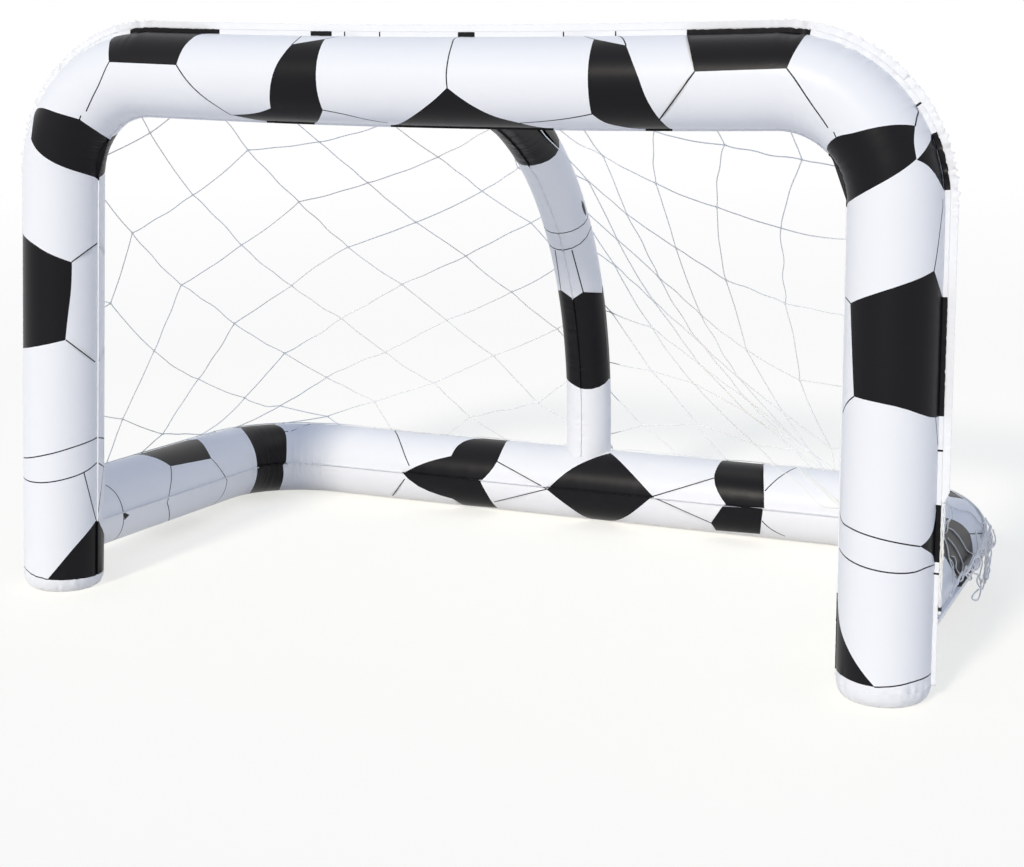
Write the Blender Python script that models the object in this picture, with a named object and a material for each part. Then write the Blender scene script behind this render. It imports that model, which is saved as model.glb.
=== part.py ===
"""Inflatable play goal: a tube arch, a U-shaped floor tube, an arched brace and a knotted net.

Each tube is two sheets of printed vinyl welded edge to edge, so it carries a flat weld margin on
both sides. The goal is laid out upright first: x to the right, y to the rear from the arch's own
plane, z up from the soles of its feet. The whole goal then leans back until its rear tube lies on
the floor, and the origin ends up under the middle of its bounding box. Sizes are in metres.
"""

import math

import bmesh
import bpy
import numpy as np
from mathutils import Matrix, Vector

# Overall shape
GOAL_WIDTH = 2.13            # over the posts at the height of the top corners
GOAL_HEIGHT = 1.31           # soles to the top of the crossbar, along the posts
GOAL_DEPTH = 1.15            # front of the arch to the back of the floor tube
POST_RADIUS = 0.094
BASE_RADIUS = 0.094
BRACE_RADIUS = 0.0583
ARCH_CORNER = 0.24           # bend radius of the arch's centreline
BASE_CORNER = 0.24           # bend radius of the floor tube's centreline
BASE_HEIGHT = 0.1616         # floor tube's centreline above the soles
POST_SPLAY = 0.018           # how far each foot stands outside its top corner
CROSSBAR_SAG = 0.010
BRACE_POWER = 0.942          # below 1 the brace bulges outside a quarter of an ellipse
FLOOR_PRESS = 0.0025         # how much the rear tube flattens where it lies on the floor

# Vinyl and welds
VINYL = 0.0003
GAP = 0.0003                 # clearance between touching pieces
ARCH_OUTER_MARGIN = 0.010
ARCH_INNER_MARGIN = 0.004
BASE_MARGIN = 0.008
BRACE_MARGIN = 0.004
TUBE_FACETS = 11             # flats on each half of an arch or floor tube; odd, so one faces the floor
BRACE_FACETS = 8
STRAIGHT_STEPS = 2           # lengths along each post, half crossbar and leg
CORNER_STEPS = 6             # lengths around each bend
BRACE_STEPS = 8              # lengths along the brace
BRACE_TOP_SINK = math.radians(3)    # where the brace's upper end starts, inside the crossbar
BRACE_FOOT_SINK = 0.057      # how far its lower end runs on into the rear tube
CUTTER_REACH = 0.15          # how far past the brace the tube-shaped cutters run

# Feet
FOOT_RISE = 0.030            # height of the round end below the sheets
FOOT_CURVE = 0.034           # how far the round end draws in before it is flat
FOOT_LIP = 0.010             # the round end's weld lip inside the post
FOOT_SINK = 0.007            # how far the soft end is pressed flat by the floor
FOOT_ARC_STEPS = 3

# Net and what holds it
TAPE_WIDTH = 0.015
TAPE_THICKNESS = 0.0006
TAPE_END_HEIGHT = 0.40       # lower end of the net tape on each post
TAIL_END_HEIGHT = 0.183      # the tie at the bottom of the net's tail on each post
CORD = 0.0026                # thickness of the net's cord
CORD_FACETS = 6
NET_ROWS = 12                # half meshes from the crossbar down to the floor tube
NET_COLUMNS = 6              # half meshes from the middle of the crossbar to a corner
NET_REST_ANGLE = math.radians(52)   # where on the floor tube the hem lies, up from its outer side
NET_CLEARANCE = 0.009        # how far the straight cords stand off the tubes they bend over
NET_BOW = 0.002              # a strand that bows more than this gets a bend
RIDGE_END = math.radians(88)        # how far down the brace the net lies on it
RIDGE_POINTS = 40
ARCH_SAMPLES = 400
NET_MITRE = 3.0              # longest reach of a cord's side into a sharp corner, in half cords
TIE_LENGTH = 0.009
TIE_WALL = 0.0016
GATHER_LENGTH = 0.170        # bunched net outside each rear corner
GATHER_HEIGHT = 0.190
GATHER_THICKNESS = 0.022
GATHER_Y = 0.745
GATHER_TAPER = 0.38          # how much narrower it is at its middle than at the top
GATHER_CLEAR = 0.006         # its lower tip above the floor

# Air valves, one for each of the three chambers
VALVE_BORE = 0.0046
VALVE_NECK = 0.0060
VALVE_FLANGE = 0.0092
VALVE_COLLAR = 0.0085
VALVE_DISC = 0.0008
STEM_WALL = 0.0017
STEM_LIP = 0.0064
STEM_LIP_HEIGHT = 0.0012
STEM_BEAD = 0.0013
STEM_BEAD_REACH = 0.0010
STEM_TRAVEL = 0.010
FLAP_THICKNESS = 0.0004
PLUG_DEPTH = 0.0060
PLUG_CAP = 0.0048
PLUG_CAP_HEIGHT = 0.0014
STRAP_WIDTH = 0.0022
STRAP_THICKNESS = 0.0006
STRAP_LOOP = 0.0062
VALVE_SEGMENTS = 12
VALVE_HOLE_DEPTH = 0.01
ARCH_VALVE_HEIGHT = 0.62     # on the back of the right post
BASE_VALVE_X = 0.45          # on the back of the rear tube
BASE_VALVE_FACET = 1         # second flat up from the rear seam
BRACE_VALVE_FACET = 3        # on the left side of the brace
BRACE_VALVE_STEP = 6         # length of the brace that holds it

# Worked out from the sizes above
CROSSBAR_Z = GOAL_HEIGHT - POST_RADIUS
CORNER_X = GOAL_WIDTH / 2 - POST_RADIUS - ARCH_CORNER
CORNER_Z = CROSSBAR_Z - ARCH_CORNER
POST_X = CORNER_X + ARCH_CORNER
REAR_Y = GOAL_DEPTH - POST_RADIUS - BASE_RADIUS
LEG_START = 0.004
LEG_X = POST_X + POST_SPLAY * (1 - BASE_HEIGHT / CORNER_Z) + POST_RADIUS - BASE_RADIUS
BASE_CORNER_Y = REAR_Y - BASE_CORNER
BASE_CORNER_X = LEG_X - BASE_CORNER
BRACE_FOOT_Z = BASE_HEIGHT + BASE_RADIUS
BRACE_RISE = CROSSBAR_Z - CROSSBAR_SAG - BRACE_FOOT_Z
TAPE_INNER = POST_RADIUS + ARCH_OUTER_MARGIN + GAP
NET_EDGE = TAPE_INNER + TAPE_WIDTH / 2

ARCH_NORMAL = np.array((0.0, -1.0, 0.0))
BASE_NORMAL = np.array((0.0, 0.0, 1.0))
BRACE_NORMAL = np.array((-1.0, 0.0, 0.0))


def lean_angle():
    """The lean that brings the rear tube's underside to the floor, turning about the soles."""
    reach = math.hypot(REAR_Y, BASE_HEIGHT)
    return math.atan2(BASE_HEIGHT, REAR_Y) - math.asin((BASE_RADIUS - FLOOR_PRESS) / reach)


LEAN = lean_angle()


def press_to_floor(points, floor):
    """Points in the upright frame, with those that would go below the floor flattened onto it."""
    points = np.array(points, dtype=float)
    c, s = math.cos(LEAN), math.sin(LEAN)
    y = points[:, 1] * c + points[:, 2] * s
    z = np.maximum(points[:, 2] * c - points[:, 1] * s, floor)
    points[:, 1] = y * c - z * s
    points[:, 2] = z * c + y * s
    return points


def empty_the_scene():
    for old in list(bpy.data.objects):
        bpy.data.objects.remove(old, do_unlink=True)


def finish_material(name, colour, roughness, metallic=0.0):
    """A plain Principled finish."""
    material = bpy.data.materials.new(name)
    material.use_nodes = True
    shader = material.node_tree.nodes["Principled BSDF"]
    shader.inputs["Base Color"].default_value = (*colour, 1.0)
    shader.inputs["Roughness"].default_value = roughness
    shader.inputs["Metallic"].default_value = metallic
    return material


def add_object(name, bm, material, stand, smooth=True):
    """Store a bmesh as a named object that stands in the leaning goal."""
    bm.normal_update()
    bmesh.ops.recalc_face_normals(bm, faces=bm.faces[:])
    mesh = bpy.data.meshes.new(name)
    bm.to_mesh(mesh)
    bm.free()
    if smooth:
        mesh.shade_smooth()
        mesh.set_sharp_from_angle(angle=math.radians(35))
    if material:
        mesh.materials.append(material)
    obj = bpy.data.objects.new(name, mesh)
    bpy.context.collection.objects.link(obj)
    obj.parent = stand
    return obj


def mark_cutter(obj):
    obj.hide_render = True
    obj.display_type = "WIRE"
    return obj


def cut(obj, cutter):
    modifier = obj.modifiers.new("cut_" + cutter.name, "BOOLEAN")
    modifier.operation = "DIFFERENCE"
    modifier.solver = "EXACT"
    modifier.object = cutter


# Centrelines

def arch_lengths():
    """Lengths of one straight post, one corner and half the crossbar."""
    return CORNER_Z - FOOT_RISE, ARCH_CORNER * math.pi / 2, CORNER_X


def arch_centre(s):
    """A point on the arch, s metres along it from the right foot."""
    post, corner, half_bar = arch_lengths()
    middle = post + corner + half_bar
    if s > middle:
        x, y, z = arch_centre(2 * middle - s)
        return np.array((-x, y, z))
    if s < post:
        z = FOOT_RISE + s
        return np.array((POST_X + POST_SPLAY * (1 - z / CORNER_Z), 0.0, z))
    if s < post + corner:
        turn = (s - post) / ARCH_CORNER
        return np.array((CORNER_X + ARCH_CORNER * math.cos(turn), 0.0,
                         CORNER_Z + ARCH_CORNER * math.sin(turn)))
    x = middle - s
    return np.array((x, 0.0, CROSSBAR_Z - CROSSBAR_SAG * (1 - (x / CORNER_X) ** 2)))


ARCH_LINE = np.array([arch_centre(s) for s in np.linspace(0.0, 2 * sum(arch_lengths()), ARCH_SAMPLES)])


def clear_of_arch(point):
    """The point itself, or pushed off the arch if its cords would run through the tube."""
    nearest = ARCH_LINE[np.argmin(np.linalg.norm(ARCH_LINE - point, axis=1))]
    away = point - nearest
    return nearest + away * max(1.0, (POST_RADIUS + NET_CLEARANCE) / np.linalg.norm(away))


def base_lengths():
    """Lengths of one straight leg, one corner and half the rear tube."""
    return BASE_CORNER_Y - LEG_START, BASE_CORNER * math.pi / 2, BASE_CORNER_X


def base_centre(s):
    """A point on the floor tube, s metres along it from the front of the right leg."""
    leg, corner, half_rear = base_lengths()
    middle = leg + corner + half_rear
    if s > middle:
        x, y, z = base_centre(2 * middle - s)
        return np.array((-x, y, z))
    if s < leg:
        return np.array((LEG_X, LEG_START + s, BASE_HEIGHT))
    if s < leg + corner:
        turn = (s - leg) / BASE_CORNER
        return np.array((BASE_CORNER_X + BASE_CORNER * math.cos(turn),
                         BASE_CORNER_Y + BASE_CORNER * math.sin(turn), BASE_HEIGHT))
    return np.array((middle - s, REAR_Y, BASE_HEIGHT))


def brace_centre(turn):
    """A point on the brace: a slightly squared quarter ellipse from the crossbar, then straight down."""
    quarter = math.pi / 2
    if turn > quarter:
        return np.array((0.0, REAR_Y, BRACE_FOOT_Z - (turn - quarter) * BRACE_RISE))
    return np.array((0.0, REAR_Y * math.sin(turn) ** BRACE_POWER,
                     BRACE_FOOT_Z + BRACE_RISE * math.cos(turn) ** BRACE_POWER))


def station(curve, s, normal, step=1e-4):
    """Centre and outward direction of a tube that follows a flat curve."""
    tangent = curve(s + step) - curve(s - step)
    outward = np.cross(tangent, normal)
    return curve(s), outward / np.linalg.norm(outward)


def stations(curve, distances, normal):
    pairs = [station(curve, s, normal) for s in distances]
    return np.array([p for p, _ in pairs]), np.array([o for _, o in pairs])


def mirrored_steps(pieces):
    """Distances along half a curve from (length, steps) pieces, then back down the other half."""
    half = [0.0]
    for length, steps in pieces:
        half += [half[-1] + length * (i + 1) / steps for i in range(steps)]
    total = 2 * half[-1]
    return half + [total - s for s in reversed(half[:-1])]


# Tubes made of two sheets

def sheet_rows(radius, facets, outer_margin, inner_margin):
    """Outer and inner rows of a sheet's section, as (outward, facing) pairs.

    The wall is half a tube. Beside the seam plane it turns into a flat weld margin, half a gap
    away from the other sheet's margin.
    """
    inside = GAP / 2
    outside = inside + VINYL
    angles = [math.pi * i / facets for i in range(facets + 1)]
    outer = [(radius * math.cos(a), max(radius * math.sin(a), outside)) for a in angles]
    inner = [((radius - VINYL) * math.cos(a), max((radius - VINYL) * math.sin(a), inside))
             for a in angles]
    first, last = radius + outer_margin, -radius - inner_margin
    return ([(first, outside)] + outer + [(last, outside)],
            [(first, inside)] + inner + [(last, inside)])


def row_points(centres, outwards, facing, row):
    row = np.array(row)
    return (centres[:, None, :] + row[None, :, :1] * outwards[:, None, :]
            + row[None, :, 1:] * facing[None, None, :])


def sheet(name, line, facing, rows, material, stand):
    """One welded sheet: its section's two rows carried along the tube's line and closed."""
    centres, outwards = line
    bm = bmesh.new()
    grids = []
    for row, floor in zip(rows, (0.0, VINYL)):
        points = row_points(centres, outwards, facing, row)
        count, width = points.shape[:2]
        flat = press_to_floor(points.reshape(-1, 3), floor)
        verts = [bm.verts.new(p) for p in flat]
        grids.append([verts[i * width:(i + 1) * width] for i in range(count)])
    outer, inner = grids
    for i in range(count - 1):
        for j in range(width - 1):
            bm.faces.new((outer[i][j], outer[i + 1][j], outer[i + 1][j + 1], outer[i][j + 1]))
            bm.faces.new((inner[i][j], inner[i][j + 1], inner[i + 1][j + 1], inner[i + 1][j]))
        for j in (0, width - 1):
            bm.faces.new((outer[i][j], inner[i][j], inner[i + 1][j], outer[i + 1][j]))
    for i in (0, count - 1):
        for j in range(width - 1):
            bm.faces.new((outer[i][j], outer[i][j + 1], inner[i][j + 1], inner[i][j]))
    return add_object(name, bm, material, stand)


def prism(name, line, normal, radius, facets, stand, material=None):
    """A solid rod with flat ends that follows a line, or the cutter that leaves room for a tube."""
    centres, outwards = line
    angles = [2 * math.pi * i / facets for i in range(facets)]
    row = [(radius * math.cos(a), radius * math.sin(a)) for a in angles]
    points = row_points(centres, outwards, normal, row)
    bm = bmesh.new()
    rings = [[bm.verts.new(p) for p in ring] for ring in points]
    for low, high in zip(rings, rings[1:]):
        for j in range(facets):
            k = (j + 1) % facets
            bm.faces.new((low[j], low[k], high[k], high[j]))
    bm.faces.new(rings[0])
    bm.faces.new(rings[-1])
    return add_object(name, bm, material, stand)


def tube_frame(stand, vinyl):
    """The three tubes: six welded sheets, cut where one tube meets another."""
    post, corner, half_bar = arch_lengths()
    arch_steps = mirrored_steps(((post, STRAIGHT_STEPS), (corner, CORNER_STEPS),
                                 (half_bar, STRAIGHT_STEPS)))
    arch = stations(arch_centre, arch_steps, ARCH_NORMAL)
    arch_rows = sheet_rows(POST_RADIUS, TUBE_FACETS, ARCH_OUTER_MARGIN, ARCH_INNER_MARGIN)
    sheet("arch_front_sheet", arch, ARCH_NORMAL, arch_rows, vinyl, stand)
    rear = sheet("arch_rear_sheet", arch, -ARCH_NORMAL, arch_rows, vinyl, stand)

    leg, base_corner, half_rear = base_lengths()
    base_steps = mirrored_steps(((leg, STRAIGHT_STEPS), (base_corner, CORNER_STEPS), (half_rear, 1)))
    base = stations(base_centre, base_steps, BASE_NORMAL)
    base_rows = sheet_rows(BASE_RADIUS, TUBE_FACETS, BASE_MARGIN, BASE_MARGIN)
    top = sheet("base_top_sheet", base, BASE_NORMAL, base_rows, vinyl, stand)
    bottom = sheet("base_bottom_sheet", base, -BASE_NORMAL, base_rows, vinyl, stand)

    brace_turns = list(np.linspace(BRACE_TOP_SINK, math.pi / 2, BRACE_STEPS + 1))
    brace_turns.append(math.pi / 2 + BRACE_FOOT_SINK / BRACE_RISE)
    brace = stations(brace_centre, brace_turns, BRACE_NORMAL)
    brace_rows = sheet_rows(BRACE_RADIUS, BRACE_FACETS, BRACE_MARGIN, BRACE_MARGIN)
    left = sheet("brace_left_sheet", brace, BRACE_NORMAL, brace_rows, vinyl, stand)
    right = sheet("brace_right_sheet", brace, -BRACE_NORMAL, brace_rows, vinyl, stand)

    facets = 2 * TUBE_FACETS
    middle = post + corner + half_bar
    for side, start in (("right", 0.0), ("left", 2 * middle - post / 2)):
        room = stations(arch_centre, (start, start + post / 2), ARCH_NORMAL)
        cutter = prism("room_for_post_" + side, room, ARCH_NORMAL, POST_RADIUS + GAP, facets, stand)
        mark_cutter(cutter)
        cut(top, cutter)
        cut(bottom, cutter)
    across = (middle - CUTTER_REACH, middle, middle + CUTTER_REACH)
    bar = stations(arch_centre, across, ARCH_NORMAL)
    bar_room = mark_cutter(prism("room_for_crossbar", bar, ARCH_NORMAL, POST_RADIUS + GAP, facets, stand))
    base_middle = leg + base_corner + half_rear
    across = (base_middle - CUTTER_REACH, base_middle + CUTTER_REACH)
    rear_line = stations(base_centre, across, BASE_NORMAL)
    rear_room = mark_cutter(prism("room_for_rear_tube", rear_line, BASE_NORMAL, BASE_RADIUS + GAP,
                                  facets, stand))
    for obj in (left, right):
        cut(obj, bar_room)
        cut(obj, rear_room)
    return {"arch": (rear, arch, arch_rows), "base": (top, base, base_rows),
            "brace": (left, brace, brace_rows)}


def foot_disc(side, stand, vinyl):
    """The round end that closes a post: a weld lip inside the tube, a curved shoulder, a flat sole."""
    arcs = np.linspace(0.0, math.pi / 2, FOOT_ARC_STEPS + 1)
    outer = [(POST_RADIUS - FOOT_CURVE * (1 - math.cos(a)), -(FOOT_RISE + FOOT_SINK) * math.sin(a) - GAP)
             for a in arcs]
    inner = [(r - VINYL, z + VINYL) for r, z in outer]
    lip_outer = POST_RADIUS - VINYL - GAP
    lip_inner = lip_outer - VINYL
    rings = [(lip_outer, -GAP)] + outer + [(0.0, outer[-1][1])]
    back = [(0.0, inner[-1][1])] + list(reversed(inner[1:])) + [(lip_inner, -GAP - VINYL),
                                                               (lip_inner, FOOT_LIP)]
    profile = rings + back + [(lip_outer, FOOT_LIP)]
    floors = [0.0] * len(rings) + [VINYL] * (len(profile) - len(rings))
    end = 0.0 if side == "right" else 2 * sum(arch_lengths())
    centre, outward = station(arch_centre, end, ARCH_NORMAL)
    up = np.cross(ARCH_NORMAL, outward) * (1 if outward[0] > 0 else -1)
    facets = 2 * TUBE_FACETS
    bm = bmesh.new()
    loops = []
    for (radius, z), floor in zip(profile, floors):
        angles = [2 * math.pi * i / facets for i in range(facets)] if radius else [0.0]
        ring = [centre + radius * (math.cos(a) * outward + math.sin(a) * ARCH_NORMAL) + z * up
                for a in angles]
        loops.append([bm.verts.new(p) for p in press_to_floor(ring, floor)])
    for first, second in zip(loops, loops[1:] + loops[:1]):
        if len(first) == 1 and len(second) == 1:
            continue
        for j in range(facets):
            k = (j + 1) % facets
            if len(second) == 1:
                bm.faces.new((first[j], first[k], second[0]))
            elif len(first) == 1:
                bm.faces.new((first[0], second[j], second[k]))
            else:
                bm.faces.new((first[j], first[k], second[k], second[j]))
    return add_object("foot_disc_" + side, bm, vinyl, stand)


# Tape, tails and ties along the outer edge of the arch

def post_distance(height):
    """Distance along the arch to a height on the right post."""
    return height - FOOT_RISE


def net_tape(name, distances, stand, material):
    """A strip of tape edge to edge with the arch's weld margin."""
    centres, outwards = stations(arch_centre, distances, ARCH_NORMAL)
    half = TAPE_THICKNESS / 2
    row = [(TAPE_INNER, -half), (TAPE_INNER + TAPE_WIDTH, -half),
           (TAPE_INNER + TAPE_WIDTH, half), (TAPE_INNER, half)]
    points = row_points(centres, outwards, ARCH_NORMAL, row)
    bm = bmesh.new()
    rings = [[bm.verts.new(p) for p in ring] for ring in points]
    for low, high in zip(rings, rings[1:]):
        for j in range(4):
            k = (j + 1) % 4
            bm.faces.new((low[j], low[k], high[k], high[j]))
    bm.faces.new(rings[0])
    bm.faces.new(rings[-1])
    return add_object(name, bm, material, stand, smooth=False)


def tapes_and_tails(stand, tape, cord, black):
    """Three lengths of tape, and below them on each post the net's tail and the tie that ends it."""
    post, corner, half_bar = arch_lengths()
    total = 2 * (post + corner + half_bar)
    low = post_distance(TAPE_END_HEIGHT)
    bend = post + corner / 2
    trim = GAP / 2
    side_steps = [low] + list(np.linspace(post, bend - trim, CORNER_STEPS // 2 + 1))
    top_half = list(np.linspace(bend + trim, post + corner, CORNER_STEPS // 2 + 1))
    top_steps = top_half + [total / 2] + [total - s for s in reversed(top_half)]
    net_tape("net_tape_right", side_steps, stand, tape)
    net_tape("net_tape_top", top_steps, stand, tape)
    net_tape("net_tape_left", [total - s for s in reversed(side_steps)], stand, tape)

    tie_at = post_distance(TAIL_END_HEIGHT)
    tie_reach = CORD / 2 + GAP + TIE_WALL
    edge = POST_RADIUS + ARCH_OUTER_MARGIN + GAP + tie_reach
    bore = CORD / 2 + GAP
    ring = [(bore, 0.0), (tie_reach, 0.0), (tie_reach, TIE_LENGTH), (bore, TIE_LENGTH)]
    for side, sign in (("right", 1), ("left", -1)):
        steps = (tie_at, low - GAP)
        if side == "left":
            steps = tuple(total - s for s in reversed(steps))
        centres, outwards = stations(arch_centre, steps, ARCH_NORMAL)
        line = centres + edge * outwards
        prism("net_tail_" + side, (line, outwards), ARCH_NORMAL, CORD / 2, CORD_FACETS, stand, cord)
        tie = turned("tail_tie_" + side, ring, black, stand)
        tie.location = line[0] if side == "right" else line[1]
        tie.rotation_euler = (0.0, -sign * math.atan(POST_SPLAY / CORNER_Z), 0.0)


def turned(name, profile, material, stand):
    """A ring or plug turned about its own z axis from a closed (radius, height) profile."""
    bm = bmesh.new()
    verts = [bm.verts.new((r, 0.0, z)) for r, z in profile]
    solid = profile[0][0] == 0.0 and profile[-1][0] == 0.0
    pairs = list(zip(verts, verts[1:])) + ([] if solid else [(verts[-1], verts[0])])
    edges = [bm.edges.new(pair) for pair in pairs]
    bmesh.ops.spin(bm, geom=verts + edges, cent=(0, 0, 0), axis=(0, 0, 1), angle=2 * math.pi,
                   steps=VALVE_SEGMENTS, use_merge=True)
    bmesh.ops.remove_doubles(bm, verts=bm.verts[:], dist=1e-6)
    return add_object(name, bm, material, stand)


# Net

def net_edge(s):
    """A point of the net's edge behind the tape, s metres along the arch."""
    centre, outward = station(arch_centre, s, ARCH_NORMAL)
    behind = TAPE_THICKNESS / 2 + GAP + CORD / 2
    return centre + NET_EDGE * outward - behind * ARCH_NORMAL


def hem_point(s):
    """A point where the hem lies on the floor tube, s metres along the tube."""
    centre, outward = station(base_centre, s, BASE_NORMAL)
    reach = BASE_RADIUS + CORD / 2 + NET_CLEARANCE
    return centre + reach * (math.cos(NET_REST_ANGLE) * outward + math.sin(NET_REST_ANGLE) * BASE_NORMAL)


def ridge_point(t):
    """The net over the brace: tight from the crossbar to the brace, along its back, down to the hem."""
    stand_off = BRACE_RADIUS + BRACE_MARGIN + CORD / 2 + NET_CLEARANCE
    start = net_edge(sum(arch_lengths()))
    end = hem_point(sum(base_lengths()))
    rise = BRACE_RISE + stand_off
    depth = REAR_Y + stand_off
    slope = math.acos(min(1.0, rise / (start[2] - BRACE_FOOT_Z)))
    turns = np.linspace(slope, RIDGE_END, RIDGE_POINTS)
    arc = np.stack((0 * turns, depth * np.sin(turns) ** BRACE_POWER,
                    BRACE_FOOT_Z + rise * np.cos(turns) ** BRACE_POWER), axis=1)
    line = np.vstack((start, arc, end))
    lengths = np.concatenate(([0.0], np.cumsum(np.linalg.norm(np.diff(line, axis=0), axis=1))))
    return np.array([np.interp(t * lengths[-1], lengths, line[:, k]) for k in range(3)])


def rear_point(i, j):
    """The rear of the net at half mesh i across and j down, stretched from the brace to a crease."""
    post, corner, half_bar = arch_lengths()
    leg, base_corner, half_rear = base_lengths()
    across = abs(i) / NET_COLUMNS
    down = j / NET_ROWS
    side = 1 if i >= 0 else -1
    top_middle = post + corner + half_bar
    top = net_edge(top_middle - across * (half_bar + corner / 2))
    low = hem_point(leg + base_corner + half_rear - across * (half_rear + base_corner / 2))
    crease_top = net_edge(post + corner / 2)
    crease_low = hem_point(leg + base_corner / 2)
    ridge = ridge_point(down)
    crease = crease_top + down * (crease_low - crease_top)
    flat = (1 - across) * ridge + across * crease
    flat_top = (1 - across) * ridge_point(0.0) + across * crease_top
    flat_low = (1 - across) * ridge_point(1.0) + across * crease_low
    point = clear_of_arch(flat + (1 - down) * (top - flat_top) + down * (low - flat_low))
    return np.array((side * point[0], point[1], point[2]))


def side_point(p, q, side):
    """The side of the net: p half meshes to the rear and q up from the tape's lower end."""
    size = NET_ROWS // 2
    if p + q == size:
        return rear_point(side * NET_COLUMNS, 2 * p)
    post, corner, _ = arch_lengths()
    leg, base_corner, _ = base_lengths()
    low = post_distance(TAPE_END_HEIGHT)
    back, up = p / size, q / size
    tack = net_edge(low)
    crease_top = net_edge(post + corner / 2)
    crease_low = hem_point(leg + base_corner / 2)
    flat = tack + back * (crease_low - tack) + up * (crease_top - tack)
    along = up / (1 - back)
    on_post = net_edge(low + along * (post + corner / 2 - low))
    straight = tack + along * (crease_top - tack)
    point = clear_of_arch(flat + (1 - back) * (on_post - straight))
    return np.array((side * point[0], point[1], point[2]))


def bends(first, second, place):
    """Places between two knots where the strand has to bend to keep to its surface."""
    middle = ((first[0] + second[0]) / 2, (first[1] + second[1]) / 2)
    chord = (place(*first) + place(*second)) / 2
    if np.linalg.norm(place(*middle) - chord) < NET_BOW:
        return []
    return bends(first, middle, place) + [middle] + bends(middle, second, place)


def diamonds(bm, inside, knot_parity, place, span):
    """Faces of a diamond mesh, with a bend wherever a strand bows away from its chord."""
    points = {}

    def point(i, j):
        if (i, j) not in points:
            points[(i, j)] = bm.verts.new(place(i, j))
        return points[(i, j)]

    for i in range(-span, span + 1):
        for j in range(0, span + 1):
            if (i + j) % 2 == knot_parity or not inside(i, j):
                continue
            around = [(i - 1, j), (i, j - 1), (i + 1, j), (i, j + 1)]
            knots = [k for k in around if inside(*k)]
            if len(knots) < 3:
                continue
            corners = []
            for first, second in zip(knots, knots[1:] + knots[:1]):
                corners += [point(*k) for k in [first] + bends(first, second, place)]
            bm.faces.new(corners)


def corded(weave):
    """Cords of a four-sided section along every edge of a mesh of open faces, as one body."""
    bm = bmesh.new()
    half = CORD / 2
    ridges = {}
    for vert in weave.verts:
        top, low = (bm.verts.new(vert.co + side * half * vert.normal) for side in (1, -1))
        ridges[vert] = (top, low)

    def skirt(first, second, inner_first, inner_second):
        bm.faces.new((ridges[first][0], ridges[second][0], inner_second, inner_first))
        bm.faces.new((ridges[second][1], ridges[first][1], inner_first, inner_second))

    outer = {}
    for face in weave.faces:
        loops = list(face.loops)
        inner = []
        for loop in loops:
            here = loop.vert.co
            onward = (loop.link_loop_next.vert.co - here).normalized()
            along = onward - (loop.link_loop_prev.vert.co - here).normalized()
            inward = loop.vert.normal.cross(along).normalized()
            inner.append(bm.verts.new(here + inward * half * min(2 / along.length, NET_MITRE)))
        for k, loop in enumerate(loops):
            skirt(loop.vert, loop.link_loop_next.vert, inner[k], inner[(k + 1) % len(loops)])
            if loop.edge.is_boundary:
                outer[loop.vert] = loop.link_loop_next.vert
    before = {second: first for first, second in outer.items()}
    rim = {}
    for vert, after in outer.items():
        along = (after.co - before[vert].co).normalized()
        rim[vert] = bm.verts.new(vert.co - half * vert.normal.cross(along).normalized())
    for vert, after in outer.items():
        skirt(after, vert, rim[after], rim[vert])
    weave.free()
    return bm


def net(stand, cord):
    """One knotted net: a wide rear over the brace and a triangle down each side."""
    weave = bmesh.new()
    diamonds(weave, lambda i, j: abs(i) <= NET_COLUMNS and 0 <= j <= NET_ROWS, 0, rear_point, NET_ROWS)
    size = NET_ROWS // 2
    for side in (1, -1):
        diamonds(weave, lambda p, q: p >= 0 and q >= 0 and p + q <= size, size % 2,
                 lambda p, q, side=side: side_point(p, q, side), size)
    bmesh.ops.remove_doubles(weave, verts=weave.verts[:], dist=1e-5)
    bmesh.ops.recalc_face_normals(weave, faces=weave.faces[:])
    weave.normal_update()
    return add_object("net", corded(weave), cord, stand, smooth=False)


def net_gather(side, base_line, stand, cord):
    """Bunched net against the outside of a rear corner, widest at the top and drawn in below."""
    sign = 1 if side == "right" else -1
    centres, outwards = base_line
    bend = STRAIGHT_STEPS + CORNER_STEPS + 1
    outline = (centres + (BASE_RADIUS + BASE_MARGIN) * outwards)[:bend]
    bm = bmesh.new()
    bmesh.ops.create_uvsphere(bm, u_segments=12, v_segments=8, radius=1.0)
    low = GATHER_Y * math.tan(LEAN) + GATHER_CLEAR
    for vert in bm.verts:
        x, y, z = vert.co
        y = GATHER_Y + y * (1 - GATHER_TAPER * (1 - z)) * GATHER_LENGTH / 2
        edge = np.interp(y, outline[:, 1], outline[:, 0])
        vert.co = (sign * (edge + GAP + (1 + x) * GATHER_THICKNESS / 2), y,
                   low + GATHER_HEIGHT * (1 + z) / 2)
    return add_object("net_gather_" + side, bm, cord, stand)


# Air valves

def flat_frame(sheet_parts, step, facet, along, facing):
    """Where a valve sits on one flat of a sheet: origin on the outside, z out of the tube."""
    _, (centres, outwards), rows = sheet_parts
    points = row_points(centres, outwards, facing, rows[0])
    a, b = points[step, facet + 1], points[step, facet + 2]
    c, d = points[step + 1, facet + 1], points[step + 1, facet + 2]
    origin = (1 - along) * (a + b) / 2 + along * (c + d) / 2
    length = (c + d) / 2 - (a + b) / 2
    z_axis = np.cross(length, b - a)
    z_axis /= np.linalg.norm(z_axis)
    if np.dot(z_axis, origin - centres[step]) < 0:
        z_axis = -z_axis
    x_axis = length / np.linalg.norm(length)
    y_axis = np.cross(z_axis, x_axis)
    matrix = Matrix([[*row, 0.0] for row in np.array((x_axis, y_axis, z_axis)).T] + [[0, 0, 0, 1]])
    matrix.translation = Vector(origin)
    return matrix


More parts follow.
